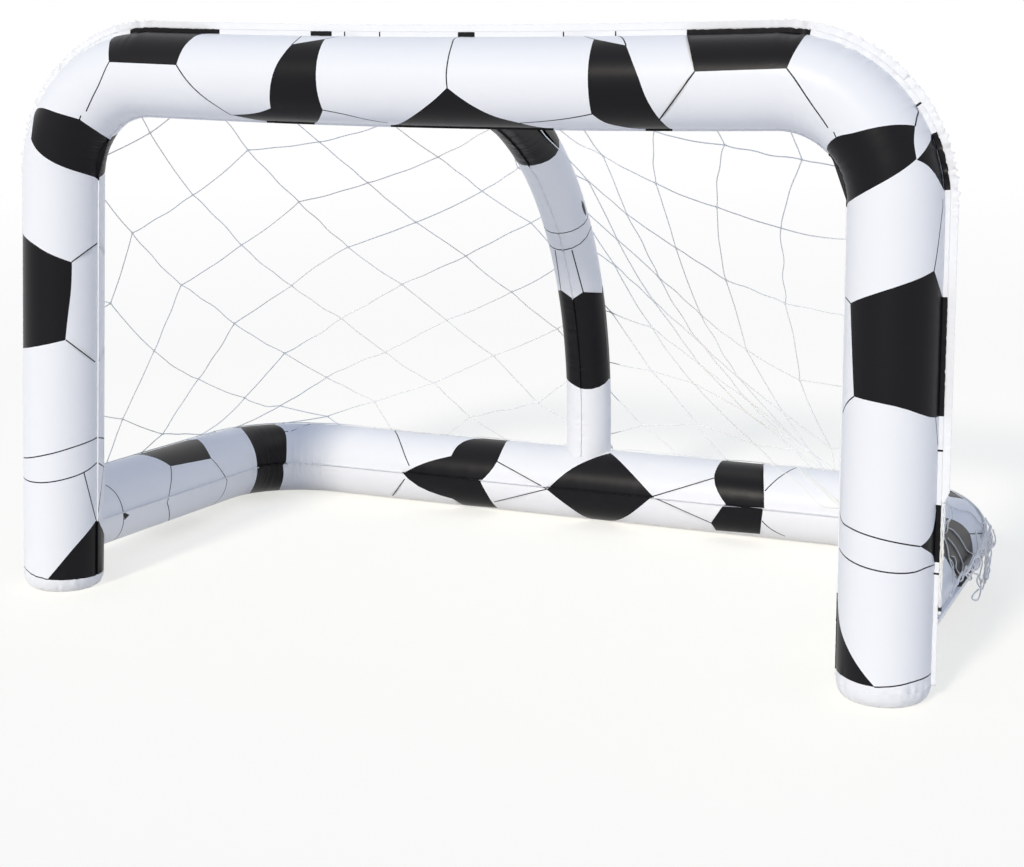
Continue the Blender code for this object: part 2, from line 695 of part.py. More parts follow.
def valve(name, place, sheet_obj, stand, clear, white):
    """A push-in air valve: seat welded in the sheet, sliding stem, inner flap, plug and strap."""
    reach = VALVE_NECK + GAP
    hole = turned(name + "_hole", [(0.0, -VALVE_HOLE_DEPTH), (reach, -VALVE_HOLE_DEPTH),
                                   (reach, VALVE_HOLE_DEPTH), (0.0, VALVE_HOLE_DEPTH)], None, stand)
    hole.matrix_basis = place
    cut(sheet_obj, mark_cutter(hole))

    under = -VINYL - GAP
    flange_low = under - VALVE_DISC
    collar_top = GAP + VALVE_DISC
    seat = turned(name + "_seat", [(VALVE_BORE, flange_low), (VALVE_FLANGE, flange_low),
                                   (VALVE_FLANGE, under), (VALVE_NECK, under), (VALVE_NECK, GAP),
                                   (VALVE_COLLAR, GAP), (VALVE_COLLAR, collar_top),
                                   (VALVE_BORE, collar_top)], clear, stand)
    seat.matrix_basis = place

    barrel = VALVE_BORE - GAP
    bore = barrel - STEM_WALL
    lip_low = collar_top + GAP
    lip_top = lip_low + STEM_LIP_HEIGHT
    bead_top = flange_low - GAP - STEM_TRAVEL
    bead_low = bead_top - STEM_BEAD
    bead = barrel + STEM_BEAD_REACH
    stem = turned(name + "_stem", [(bore, bead_low), (bead, bead_low), (bead, bead_top),
                                   (barrel, bead_top), (barrel, lip_low), (STEM_LIP, lip_low),
                                   (STEM_LIP, lip_top), (bore, lip_top)], clear, stand)
    stem.matrix_basis = place

    flap_top = bead_low - GAP
    flap = turned(name + "_flap", [(0.0, -FLAP_THICKNESS), (barrel, -FLAP_THICKNESS), (barrel, 0.0),
                                   (0.0, 0.0)], clear, stand)
    flap.data.transform(Matrix.Translation((barrel, 0.0, 0.0)))
    flap.matrix_basis = place @ Matrix.Translation((-barrel, 0.0, flap_top))

    shank = bore - GAP
    cap_low = lip_top + GAP
    cap_top = cap_low + PLUG_CAP_HEIGHT
    plug = turned(name + "_plug", [(0.0, cap_low - PLUG_DEPTH), (shank, cap_low - PLUG_DEPTH),
                                   (shank, cap_low), (PLUG_CAP, cap_low), (PLUG_CAP, cap_top),
                                   (0.0, cap_top)], white, stand)
    plug.matrix_basis = place
    strap = valve_strap(name + "_strap", (lip_low + lip_top) / 2, (cap_low + cap_top) / 2, clear, stand)
    strap.matrix_basis = place


def valve_strap(name, lip_z, cap_z, material, stand):
    """A ribbon from the stem's lip out and back to the plug's cap."""
    rise = cap_z - lip_z
    far = STEM_LIP + STRAP_LOOP
    arc = [math.radians(a) for a in (-90, -45, 0, 45, 90)]
    bend = [(far + rise / 2 * math.cos(a), lip_z + rise / 2 + rise / 2 * math.sin(a)) for a in arc]
    middle = [(STEM_LIP + GAP, lip_z)] + bend + [(PLUG_CAP + GAP, cap_z)]
    half = STRAP_THICKNESS / 2
    normals = [(0.0, -1.0)] + [(math.cos(a), math.sin(a)) for a in arc] + [(0.0, 1.0)]
    bm = bmesh.new()
    rings = []
    for (x, z), (nx, nz) in zip(middle, normals):
        corners = ((1, -1), (1, 1), (-1, 1), (-1, -1))
        rings.append([bm.verts.new((x + s * half * nx, w * STRAP_WIDTH / 2, z + s * half * nz))
                      for s, w in corners])
    for low, high in zip(rings, rings[1:]):
        for j in range(4):
            k = (j + 1) % 4
            bm.faces.new((low[j], low[k], high[k], high[j]))
    bm.faces.new(rings[0])
    bm.faces.new(rings[-1])
    return add_object(name, bm, material, stand, smooth=False)


def valves(tubes, stand, clear, white):
    """One valve on the back of the right post, one on the rear tube and one on the brace."""
    steps_up = post_distance(ARCH_VALVE_HEIGHT) / arch_lengths()[0] * STRAIGHT_STEPS
    step = min(int(steps_up), STRAIGHT_STEPS - 1)
    place = flat_frame(tubes["arch"], step, TUBE_FACETS // 2, steps_up - step, -ARCH_NORMAL)
    valve("arch_valve", place, tubes["arch"][0], stand, clear, white)

    step = STRAIGHT_STEPS + CORNER_STEPS
    along = 1 - BASE_VALVE_X / BASE_CORNER_X
    place = flat_frame(tubes["base"], step, BASE_VALVE_FACET, along, BASE_NORMAL)
    valve("base_valve", place, tubes["base"][0], stand, clear, white)

    place = flat_frame(tubes["brace"], BRACE_VALVE_STEP, BRACE_VALVE_FACET, 0.5, BRACE_NORMAL)
    valve("brace_valve", place, tubes["brace"][0], stand, clear, white)


def centre_on_floor(stand):
    """Move the goal so that the origin is on the floor under the middle of its bounding box."""
    bpy.context.view_layer.update()
    depsgraph = bpy.context.evaluated_depsgraph_get()
    lows, highs = [], []
    for obj in bpy.data.objects:
        if obj.type != "MESH" or obj.hide_render:
            continue
        solid = obj.evaluated_get(depsgraph)
        points = np.array([solid.matrix_world @ v.co for v in solid.data.vertices])
        lows.append(points.min(axis=0))
        highs.append(points.max(axis=0))
    low, high = np.min(lows, axis=0), np.max(highs, axis=0)
    stand.location = (-(low[0] + high[0]) / 2, -(low[1] + high[1]) / 2, -low[2])


def main():
    empty_the_scene()
    stand = bpy.data.objects.new("goal_stand", None)
    bpy.context.collection.objects.link(stand)
    stand.rotation_euler = (-LEAN, 0.0, 0.0)

    printed = finish_material("printed_vinyl", (0.86, 0.86, 0.88), 0.35)
    white = finish_material("white_vinyl", (0.9, 0.9, 0.9), 0.4)
    tape = finish_material("net_tape", (0.92, 0.92, 0.92), 0.7)
    cord = finish_material("net_cord", (0.88, 0.9, 0.9), 0.8)
    clear = finish_material("valve_vinyl", (0.75, 0.8, 0.85), 0.3)
    black = finish_material("black_tie", (0.03, 0.03, 0.03), 0.5)

    tubes = tube_frame(stand, printed)
    for side in ("right", "left"):
        foot_disc(side, stand, white)
        net_gather(side, tubes["base"][1], stand, cord)
    tapes_and_tails(stand, tape, cord, black)
    net(stand, cord)
    valves(tubes, stand, clear, white)
    centre_on_floor(stand)


main()
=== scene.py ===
"""Looks of an inflatable play goal: printed vinyl tubes, ruffled welds, a slack knotted net and
air valves."""

import math
from functools import partial

import bpy
import numpy as np
from mathutils import Matrix, Vector
from mathutils.geometry import delaunay_2d_cdt


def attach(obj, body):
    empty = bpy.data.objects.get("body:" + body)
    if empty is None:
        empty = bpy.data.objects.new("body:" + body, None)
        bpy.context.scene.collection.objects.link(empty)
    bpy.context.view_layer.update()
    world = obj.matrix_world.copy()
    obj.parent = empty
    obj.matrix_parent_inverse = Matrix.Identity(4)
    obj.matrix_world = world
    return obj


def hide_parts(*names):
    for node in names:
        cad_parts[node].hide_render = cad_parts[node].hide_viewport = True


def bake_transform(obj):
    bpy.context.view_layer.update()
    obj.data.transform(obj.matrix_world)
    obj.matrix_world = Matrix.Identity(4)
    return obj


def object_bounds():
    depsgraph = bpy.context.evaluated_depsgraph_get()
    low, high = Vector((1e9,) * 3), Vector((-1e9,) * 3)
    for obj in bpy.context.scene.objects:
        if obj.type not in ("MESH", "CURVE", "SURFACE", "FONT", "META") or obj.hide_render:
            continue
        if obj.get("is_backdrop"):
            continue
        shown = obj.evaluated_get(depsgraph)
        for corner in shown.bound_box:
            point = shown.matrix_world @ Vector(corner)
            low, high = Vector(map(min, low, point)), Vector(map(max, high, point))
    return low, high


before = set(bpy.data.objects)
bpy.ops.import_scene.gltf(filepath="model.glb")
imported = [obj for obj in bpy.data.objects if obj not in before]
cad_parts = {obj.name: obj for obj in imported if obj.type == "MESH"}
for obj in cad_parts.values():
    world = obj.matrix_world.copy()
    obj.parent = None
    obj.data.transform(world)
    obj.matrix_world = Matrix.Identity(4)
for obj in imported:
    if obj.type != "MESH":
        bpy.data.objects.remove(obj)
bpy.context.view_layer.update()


# Camera. It stands in front of the goal and to its right, 1.4 m above the floor, and looks down a
# little to the left. The small shift keeps the posts as upright as the photograph shows them.
CAMERA_PLACE = (1.6503, -3.983138, 1.4105)
CAMERA_TURN = math.radians(22.701)
CAMERA_DIP = math.radians(11.647)
CAMERA_ROLL = math.radians(-0.587)

camera_data = bpy.data.cameras.new("camera")
camera_data.lens = 64.6
camera_data.sensor_width = 36.0
camera_data.shift_y = -0.0718
camera = bpy.data.objects.new("camera", camera_data)
camera.matrix_world = (Matrix.Translation(CAMERA_PLACE) @ Matrix.Rotation(CAMERA_TURN, 4, "Z")
                       @ Matrix.Rotation(math.pi / 2 - CAMERA_DIP, 4, "X")
                       @ Matrix.Rotation(CAMERA_ROLL, 4, "Z"))
bpy.context.scene.collection.objects.link(camera)
bpy.context.scene.camera = camera
bpy.context.scene.view_settings.view_transform = "Standard"


# Light and floor. A broad warm sun stands in front and a little to the left, high enough for the
# posts to shade the legs behind them, and a small warm panel hangs over the rear tube. The sky fills
# the rest, pale at the horizon and blue overhead, and the floor is white paper.
KEY_TURN = -8
KEY_HEIGHT = 31
FLOOR_REACH = 40


def link(tree, source, target):
    """Join two sockets, and give back the second."""
    tree.links.new(source, target)
    return target


def new_node(tree, kind, **inputs):
    """A shader node with some of its input sockets set by name."""
    node = tree.nodes.new(kind)
    for name, value in inputs.items():
        node.inputs[name.replace("_", " ")].default_value = value
    return node


def math_node(tree, operation, value=None):
    """A maths node, with its second input set where a value is given."""
    node = tree.nodes.new("ShaderNodeMath")
    node.operation = operation
    if value is not None:
        node.inputs[1].default_value = value
    return node


def mixer(tree, first=None, second=None):
    """A node that mixes two colours."""
    node = tree.nodes.new("ShaderNodeMix")
    node.data_type = "RGBA"
    for name, colour in (("A", first), ("B", second)):
        if colour is not None:
            node.inputs[name].default_value = (*colour, 1.0)
    return node


def seen_directly(tree, rays):
    """1 for rays from the camera, also for those that a gloss or a clear piece sends on."""
    total = rays.outputs["Is Camera Ray"]
    for kind in ("Is Glossy Ray", "Is Transmission Ray"):
        either = math_node(tree, "MAXIMUM")
        link(tree, total, either.inputs[0])
        link(tree, rays.outputs[kind], either.inputs[1])
        total = either.outputs[0]
    return total


key_data = bpy.data.lights.new("key_lamp", "SUN")
key_data.energy = 1.95
key_data.angle = math.radians(9)
key_data.color = (1.0, 0.945, 0.83)
key = bpy.data.objects.new("key_lamp", key_data)
key.matrix_world = (Matrix.Rotation(math.radians(KEY_TURN), 4, "Z")
                    @ Matrix.Rotation(math.radians(90 - KEY_HEIGHT), 4, "X"))
bpy.context.scene.collection.objects.link(key)

rear_data = bpy.data.lights.new("rear_lamp", "AREA")
rear_data.shape = "RECTANGLE"
rear_data.size, rear_data.size_y = 1.5, 0.7
rear_data.energy = 5.0
rear_data.color = (1.0, 0.94, 0.84)
rear_lamp = bpy.data.objects.new("rear_lamp", rear_data)
rear_lamp.location = (0.15, 0.75, 1.95)
bpy.context.scene.collection.objects.link(rear_lamp)

world = bpy.data.worlds.new("studio")
bpy.context.scene.world = world
world.use_nodes = True
sky = world.node_tree
sky.nodes.clear()
sky_out = sky.nodes.new("ShaderNodeOutputWorld")
sky_mix = sky.nodes.new("ShaderNodeMixShader")
sky_path = sky.nodes.new("ShaderNodeLightPath")
sky_fill = new_node(sky, "ShaderNodeBackground")
sky_way = sky.nodes.new("ShaderNodeTexCoord")
sky_up = sky.nodes.new("ShaderNodeSeparateXYZ")
sky_tint = mixer(sky, (0.60, 0.61, 0.67), (0.14, 0.24, 0.44))
link(sky, sky_way.outputs["Generated"], sky_up.inputs[0])
link(sky, sky_up.outputs["Z"], sky_tint.inputs["Factor"])
link(sky, sky_tint.outputs["Result"], sky_fill.inputs["Color"])
sky_seen = new_node(sky, "ShaderNodeBackground", Color=(1.0, 1.0, 1.0, 1.0), Strength=1.0)
link(sky, seen_directly(sky, sky_path), sky_mix.inputs[0])
link(sky, sky_fill.outputs[0], sky_mix.inputs[1])
link(sky, sky_seen.outputs[0], sky_mix.inputs[2])
link(sky, sky_mix.outputs[0], sky_out.inputs["Surface"])

# Seen by the camera the floor glows near the goal and is pure white far away, so that only its soft
# shadows show. To all other rays it is a plain warm white.
floor_material = bpy.data.materials.new("studio_floor")
floor_material.use_nodes = True
tree = floor_material.node_tree
tree.nodes.clear()
floor_out = tree.nodes.new("ShaderNodeOutputMaterial")
paper = new_node(tree, "ShaderNodeBsdfDiffuse", Color=(0.90, 0.885, 0.87, 1.0))
shaded = new_node(tree, "ShaderNodeBsdfDiffuse", Color=(0.46, 0.44, 0.40, 1.0))
glow = new_node(tree, "ShaderNodeEmission", Color=(1.0, 1.0, 0.96, 1.0), Strength=0.65)
near = tree.nodes.new("ShaderNodeAddShader")
far = new_node(tree, "ShaderNodeEmission", Color=(1.0, 1.0, 1.0, 1.0), Strength=1.0)
seen = tree.nodes.new("ShaderNodeMixShader")
floor_mix = tree.nodes.new("ShaderNodeMixShader")
path = tree.nodes.new("ShaderNodeLightPath")
place_node = tree.nodes.new("ShaderNodeTexCoord")
away = new_node(tree, "ShaderNodeVectorMath")
away.operation = "LENGTH"
fade = tree.nodes.new("ShaderNodeMapRange")
fade.inputs["From Min"].default_value = 3.0
fade.inputs["From Max"].default_value = 9.0
link(tree, place_node.outputs["Object"], away.inputs[0])
link(tree, away.outputs["Value"], fade.inputs["Value"])
link(tree, shaded.outputs[0], near.inputs[0])
link(tree, glow.outputs[0], near.inputs[1])
link(tree, fade.outputs["Result"], seen.inputs[0])
link(tree, near.outputs[0], seen.inputs[1])
link(tree, far.outputs[0], seen.inputs[2])
link(tree, seen_directly(tree, path), floor_mix.inputs[0])
link(tree, paper.outputs[0], floor_mix.inputs[1])
link(tree, seen.outputs[0], floor_mix.inputs[2])
link(tree, floor_mix.outputs[0], floor_out.inputs["Surface"])

floor_mesh = bpy.data.meshes.new("studio_floor")
floor_mesh.from_pydata([(x * FLOOR_REACH, y * FLOOR_REACH, 0)
                        for x, y in ((-1, -1), (1, -1), (1, 1), (-1, 1))], [], [(0, 1, 2, 3)])
floor_mesh.materials.append(floor_material)
floor = bpy.data.objects.new("studio_floor", floor_mesh)
bpy.context.scene.collection.objects.link(floor)
floor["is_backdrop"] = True


# Arch: the goal mouth. Two flat printed vinyl sheets are welded edge to edge and blown up into one
# round tube, so straight printed lines wind round it, and both welds pucker where the tube bends.
GOAL_WIDTH, GOAL_HEIGHT, GOAL_DEPTH = 2.13, 1.31, 1.15
POST_RADIUS = 0.094
CORNER_RADIUS = 0.24
POST_X = GOAL_WIDTH / 2 - POST_RADIUS
CROSSBAR_Z = GOAL_HEIGHT - POST_RADIUS
CORNER_X = POST_X - CORNER_RADIUS
CORNER_Z = CROSSBAR_Z - CORNER_RADIUS
CROSSBAR_SAG = 0.010
POST_SPLAY = 0.018
FOOT_RISE = 0.030
REAR_Y = GOAL_DEPTH - 2 * POST_RADIUS
BASE_HEIGHT = 0.1616
FLOOR_PRESS = 0.0025
FLOOR_CLEAR = 0.0003
LEAN = math.atan2(BASE_HEIGHT, REAR_Y) - math.asin((POST_RADIUS - FLOOR_PRESS)
                                                   / math.hypot(REAR_Y, BASE_HEIGHT))
SHIFT_Y = -0.491138
ARCH_FACING = np.array((0.0, -1.0, 0.0))
ARCH_LENGTHS = (CORNER_Z - FOOT_RISE, CORNER_RADIUS * math.pi / 2, CORNER_X)
ARCH_TOTAL = 2 * sum(ARCH_LENGTHS)
LINE_WIDTH = 0.0029
SEAM_CLEAR = 0.0002
ROW_PITCH = 0.0098
END_CLEAR = 0.35 * ROW_PITCH
PRINT_CLEAR = 0.32 * ROW_PITCH


def stood(points):
    """Upright points to the standing goal: turned back by its lean about x, moved, and kept above
    the floor."""
    x, y, z = np.moveaxis(np.asarray(points, float), -1, 0)
    c, s = math.cos(LEAN), math.sin(LEAN)
    return np.stack((x, y * c + z * s + SHIFT_Y, np.maximum(z * c - y * s, FLOOR_CLEAR)), -1)


def arch_line(s):
    """Centre of the arch s metres along it: a straight post, a quarter circle, and a bar that sags as
    a parabola."""
    post, corner, half = ARCH_LENGTHS
    middle = post + corner + half
    near_half = np.where(s > middle, 2 * middle - s, s)
    height = FOOT_RISE + near_half
    turn = np.clip((near_half - post) / CORNER_RADIUS, 0, math.pi / 2)
    across = middle - near_half
    x = np.where(near_half < post, POST_X + POST_SPLAY * (1 - height / CORNER_Z),
                 np.where(near_half < post + corner, CORNER_X + CORNER_RADIUS * np.cos(turn), across))
    z = np.where(near_half < post, height,
                 np.where(near_half < post + corner, CORNER_Z + CORNER_RADIUS * np.sin(turn),
                          CROSSBAR_Z - CROSSBAR_SAG * (1 - (across / CORNER_X) ** 2)))
    return np.stack((np.where(s > middle, -x, x), 0 * x, z), -1)


def along(line, s, facing, step=1e-4):
    """Centres of a tube at s, and its outward directions: tangent crossed with the side it faces."""
    tangent = line(s + step) - line(s - step)
    outward = np.cross(tangent, facing)
    return line(s), outward / np.linalg.norm(outward, axis=-1, keepdims=True)


def bump_up(s, low, high, soft=0.05):
    """1 between low and high, falling smoothly to 0 over a short length on both sides."""
    rise = np.clip((s - low) / soft + 0.5, 0, 1) * np.clip((high - s) / soft + 0.5, 0, 1)
    return rise * rise * (3 - 2 * rise)


def ripple(s, pitch, seed):
    """An uneven wave along a weld: four sines of unlike length, each drifting in and out of step."""
    draw = np.random.default_rng(seed)
    total = 0.0
    for share in (1.0, 0.71, 0.47, 0.33):
        phase, drift = draw.uniform(0, 2 * math.pi, 2)
        length = pitch * share * draw.uniform(0.9, 1.1)
        total = total + np.sin(2 * math.pi * s / length + phase
                               + 1.3 * np.sin(2 * math.pi * s / (5.3 * length) + drift))
    return total / 2.2


def weld_puckers(s, away, bend, seed, calm=0.0003, drawn=0.0016):
    """Height of the skin beside a weld: a ripple along it that dies out over a few centimetres."""
    reach = 0.012 + 0.022 * bend
    depth = calm + drawn * bend
    return depth * np.exp(-away / reach) * (ripple(s, 0.034, seed) - 0.6) \
        + 0.25 * depth * np.exp(-away / (2.4 * reach)) * ripple(s, 0.09, seed + 1)


def arch_bends(s):
    """How much the arch bends at s: 1 in its two corners, 0 along the straight parts."""
    post, corner, _ = ARCH_LENGTHS
    return np.maximum(bump_up(s, post, post + corner),
                      bump_up(s, ARCH_TOTAL - post - corner, ARCH_TOTAL - post))


def arch_skin_upright(s, v):
    """The arch's surface before it leans: s metres along it and v round it, from the outer weld over
    the front."""
    centre, outward = along(arch_line, s, ARCH_FACING)
    a = v / POST_RADIUS
    around = np.minimum(v, 2 * math.pi * POST_RADIUS - v)
    bend = arch_bends(s)
    radius = POST_RADIUS + weld_puckers(s, around, bend, 11) \
        + weld_puckers(s, math.pi * POST_RADIUS - around, bend, 23, drawn=0.0007)
    foot = np.minimum(s, ARCH_TOTAL - s)
    radius = radius + 0.0011 * np.exp(-foot / 0.016) * (ripple(v, 0.037, 31) - 0.5)
    a, radius = a[..., None], radius[..., None]
    return centre + radius * (np.cos(a) * outward + np.sin(a) * ARCH_FACING)


def arch_skin(s, v):
    """The arch's surface as it stands."""
    return stood(arch_skin_upright(s, v))


def trimmed(shape, low, high):
    """The part of a flat shape that lies between two rows."""
    for edge, side in ((low, 1), (high, -1)):
        kept = []
        for here, after in zip(shape, shape[1:] + shape[:1]):
            if side * (here[1] - edge) >= 0:
                kept.append(here)
            if (here[1] - edge) * (after[1] - edge) < 0:
                share = (edge - here[1]) / (after[1] - here[1])
                kept.append((here[0] + share * (after[0] - here[0]), edge))
        shape = kept
    return shape


def rounded(points, closed, parts=4, sharp=math.radians(31)):
    """A drawn outline with its slight turns made round: a cubic from point to point that is tangent
    to the chord between the neighbours of each, but starts and ends straight at sharp corners."""
    points = np.array(points)
    if not closed:
        ends = [2 * points[:1] - points[1:2], 2 * points[-1:] - points[-2:-1]]
        wide = np.concatenate((ends[0], points, ends[1]))
    else:
        wide = np.concatenate((points[-1:], points, points[:1]))
    back, ahead = wide[1:-1] - wide[:-2], wide[2:] - wide[1:-1]
    long_back, long_ahead = np.linalg.norm(back, axis=1), np.linalg.norm(ahead, axis=1)
    turn = np.arccos(np.clip((back * ahead).sum(1) / (long_back * long_ahead), -1, 1))
    heading = (back / long_back[:, None] * long_ahead[:, None]
               + ahead / long_ahead[:, None] * long_back[:, None])
    heading /= np.linalg.norm(heading, axis=1, keepdims=True) + 1e-12
    corner = turn > sharp
    if not closed:
        corner[[0, -1]] = True
    found = []
    count = len(points)
    for here in range(count if closed else count - 1):
        there = (here + 1) % count
        chord = points[there] - points[here]
        length = np.linalg.norm(chord)
        if corner[here] and corner[there]:
            found.append(points[here])
            continue
        first, last = heading[here] * length, heading[there] * length
        if corner[here]:
            first = 1.5 * chord - 0.5 * last
        if corner[there]:
            last = 1.5 * chord - 0.5 * first
        for t in np.arange(parts) / parts:
            found.append(points[here] + t * first + t * t * (3 * chord - 2 * first - last)
                         + t ** 3 * (first + last - 2 * chord))
    if not closed:
        found.append(points[-1])
    return found


def printed(patches, lines, radius, low, high):
    """Flat shapes of a print, in metres along and round a tube: one half of the tube, from low to
    high degrees, and its mirror image on the other half."""
    shapes = [[tuple(p) for p in rounded([(s, radius * math.radians(a)) for s, a in patch], True)]
              for patch in patches]
    for path_points in lines:
        flat = rounded([(s, radius * math.radians(a)) for s, a in path_points], False)
        for start, end in zip(flat, flat[1:]):
            across = np.array((start[1] - end[1], end[0] - start[0]))
            across *= LINE_WIDTH / 2 / np.linalg.norm(across)
            tip = (end - start) / np.linalg.norm(end - start) * LINE_WIDTH / 4
            shapes.append([tuple(p) for p in (start - tip - across, end + tip - across,
                                              end + tip + across, start - tip + across)])
    girth = 2 * math.pi * radius
    low, high = radius * math.radians(low), radius * math.radians(high)
    whole = []
    for shape in shapes:
        half = trimmed(shape, low, high)
        for one in (half, [(s, 2 * high - v) for s, v in half]):
            for turns in (-1, 0, 1):
                moved = trimmed([(s, v + turns * girth) for s, v in one], SEAM_CLEAR, girth - SEAM_CLEAR)
                if len(moved) > 2:
                    x, y = np.array(moved).T
                    turning = np.sum(x * np.roll(y, -1) - y * np.roll(x, -1))
                    whole.append(moved if turning > 0 else moved[::-1])
    return whole


def clear_of(points, shape, gap):
    """True for the points that lie further than gap from every edge of a flat shape."""
    far_off = np.ones(len(points), bool)
    corners = np.array(shape)
    low, high = corners.min(0) - gap, corners.max(0) + gap
    close = np.flatnonzero(((points > low) & (points < high)).all(1))
    for start, end in zip(corners, np.roll(corners, -1, axis=0)):
        d = end - start
        share = np.clip(((points[close] - start) @ d) / max(d @ d, 1e-12), 0, 1)
        apart = np.linalg.norm(points[close] - start - share[:, None] * d, axis=1)
        far_off[close[apart < gap]] = False
    return far_off


def printed_skin(name, surface, first, last, shapes, stations, girth, hollow):
    """A tube's skin with its print cut into the mesh.

    Points of a regular grid, the border and the printed shapes are joined flat into triangles by
    constrained Delaunay, so that every printed edge is an edge of the mesh. A long straight border
    between two sharp corners stays one edge, and cuts a dent where the tube turns away under it.
    first(v) and last(v) say where the tube starts and ends. The surface function then carries the
    points to their places, the two long edges are joined, and each open end is closed with rings
    that hollow() lays towards the ring's middle.
    """
    rows = np.linspace(0, girth, round(girth / ROW_PITCH) + 1)
    s, v = (g.ravel() for g in np.meshgrid(stations, rows, indexing="ij"))
    points = np.stack((s, v), -1)
    border = [(float(last(row)), row) for row in rows]
    border += [(float(first(row)), row) for row in rows[::-1]]
    start, finish = first(v), last(v)
    edge_row = (v == 0) | (v == girth)
    inner = (s > start + END_CLEAR) & (s < finish - END_CLEAR)
    for shape in shapes:
        inner &= clear_of(points, shape, PRINT_CLEAR) | edge_row
    points = points[inner]
    flat = [Vector(p) for p in points]
    faces = []
    for shape in [border] + shapes:
        faces.append(list(range(len(flat), len(flat) + len(shape))))
        flat += [Vector(p) for p in shape]
    flat, _, triangles, _, _, owners = delaunay_2d_cdt(flat, [], faces, 0, 1e-6)
    flat = np.array(flat)
    kept = np.array([0 in owner for owner in owners])
    ink = np.array([len(owner) > 1 for owner in owners])[kept]
    triangles = np.array(triangles)[kept]
    sheet_places = flat[triangles]
    flat[flat[:, 1] > girth - 1e-9, 1] = 0.0
    flat, joined = np.unique(np.round(flat, 8), axis=0, return_inverse=True)
    triangles = joined.ravel()[triangles]
    doubled = (triangles == np.roll(triangles, 1, axis=1)).any(1)
    triangles, ink, sheet_places = triangles[~doubled], ink[~doubled], sheet_places[~doubled]
    vertices = surface(flat[:, 0], flat[:, 1])
    step = 1e-4
    normals = np.cross(surface(flat[:, 0] + step, flat[:, 1]) - surface(flat[:, 0] - step, flat[:, 1]),
                       surface(flat[:, 0], flat[:, 1] + step) - surface(flat[:, 0], flat[:, 1] - step))
    normals /= np.maximum(np.linalg.norm(normals, axis=1, keepdims=True), 1e-12)

    pairs = np.concatenate([triangles[:, [0, 1]], triangles[:, [1, 2]], triangles[:, [2, 0]]])
    keys = np.sort(pairs, axis=1) @ (len(flat), 1)
    _, found, counts = np.unique(keys, return_index=True, return_counts=True)
    open_pairs = pairs[found[counts == 1]]
    at_start = flat[open_pairs[:, 0], 0] < flat[:, 0].mean()
    faces_out, ink_out, uv_out = [triangles], [ink], [sheet_places]
    for ring in (open_pairs[at_start], open_pairs[~at_start]):
        members, place_of = np.unique(ring, return_inverse=True)
        place_of = place_of.reshape(ring.shape)
        rim = vertices[members]
        middle = rim.mean(0)
        lower = members
        for share in (0.75, 0.5, 0.25, 0.0):
            count = len(members) if share else 1
            added = hollow(middle + (rim - middle) * share)[:count]
            upper = len(vertices) + (np.arange(len(members)) if share else 0 * members)
            vertices = np.vstack((vertices, added))
            normals = np.vstack((normals, np.zeros((count, 3))))
            a, b = place_of[:, 0], place_of[:, 1]
            made = [np.stack((lower[b], lower[a], upper[a]), -1)]
            if share:
                made.append(np.stack((lower[b], upper[a], upper[b]), -1))
            made = np.vstack(made)
            faces_out.append(made)
            ink_out.append(np.zeros(len(made), bool))
            uv_out.append(np.zeros((len(made), 3, 2)))
            lower = upper
    triangles = np.vstack(faces_out)
    mesh = bpy.data.meshes.new(name)
    mesh.from_pydata(vertices.tolist(), [], triangles.tolist())
    mesh.polygons.foreach_set("use_smooth", np.ones(len(triangles), bool))
    mesh.attributes.new("ink", "FLOAT", "FACE").data.foreach_set(
        "value", np.concatenate(ink_out).astype(np.float32))
    mesh.uv_layers.new(name="sheet").data.foreach_set(
        "uv", np.concatenate(uv_out).reshape(-1).astype(np.float32))
    mesh.update()
    mesh.normals_split_custom_set_from_vertices(normals.tolist())
    piece = bpy.data.objects.new(name, mesh)
    bpy.context.scene.collection.objects.link(piece)
    return piece


def creases_group():
    """Fine hand-sized creases and pores of soft vinyl: two stretched noises added into one height."""
    group = bpy.data.node_groups.new("vinyl_creases", "ShaderNodeTree")
    group.interface.new_socket("Vector", in_out="INPUT", socket_type="NodeSocketVector")
    group.interface.new_socket("Crease", in_out="INPUT", socket_type="NodeSocketFloat")
    group.interface.new_socket("Height", in_out="OUTPUT", socket_type="NodeSocketFloat")
    group.interface.new_socket("Dust", in_out="OUTPUT", socket_type="NodeSocketFloat")
    given, sent = group.nodes.new("NodeGroupInput"), group.nodes.new("NodeGroupOutput")
    folds = new_node(group, "ShaderNodeTexNoise", Scale=24.0, Detail=5.0, Roughness=0.55, Distortion=1.2)
    ridge = math_node(group, "PINGPONG", 0.12)
    pores = new_node(group, "ShaderNodeTexNoise", Scale=900.0, Detail=2.0)
    small = math_node(group, "MULTIPLY", 0.035)
    scaled = math_node(group, "MULTIPLY")
    whole = math_node(group, "ADD")
    cloudy = new_node(group, "ShaderNodeTexNoise", Scale=3.1, Detail=3.0)
    link(group, given.outputs["Vector"], folds.inputs["Vector"])
    link(group, given.outputs["Vector"], pores.inputs["Vector"])
    link(group, given.outputs["Vector"], cloudy.inputs["Vector"])
    link(group, folds.outputs["Fac"], ridge.inputs[0])
    link(group, ridge.outputs[0], scaled.inputs[0])
    link(group, given.outputs["Crease"], scaled.inputs[1])
    link(group, pores.outputs["Fac"], small.inputs[0])
    link(group, scaled.outputs[0], whole.inputs[0])
    link(group, small.outputs[0], whole.inputs[1])
    link(group, whole.outputs[0], sent.inputs["Height"])
    link(group, cloudy.outputs["Fac"], sent.inputs["Dust"])
    return group


creases = creases_group()


def new_material(name):
    """A material with nodes, its tree and its shader."""
    material = bpy.data.materials.new(name)
    material.use_nodes = True
    tree = material.node_tree
    return material, tree, tree.nodes["Principled BSDF"]


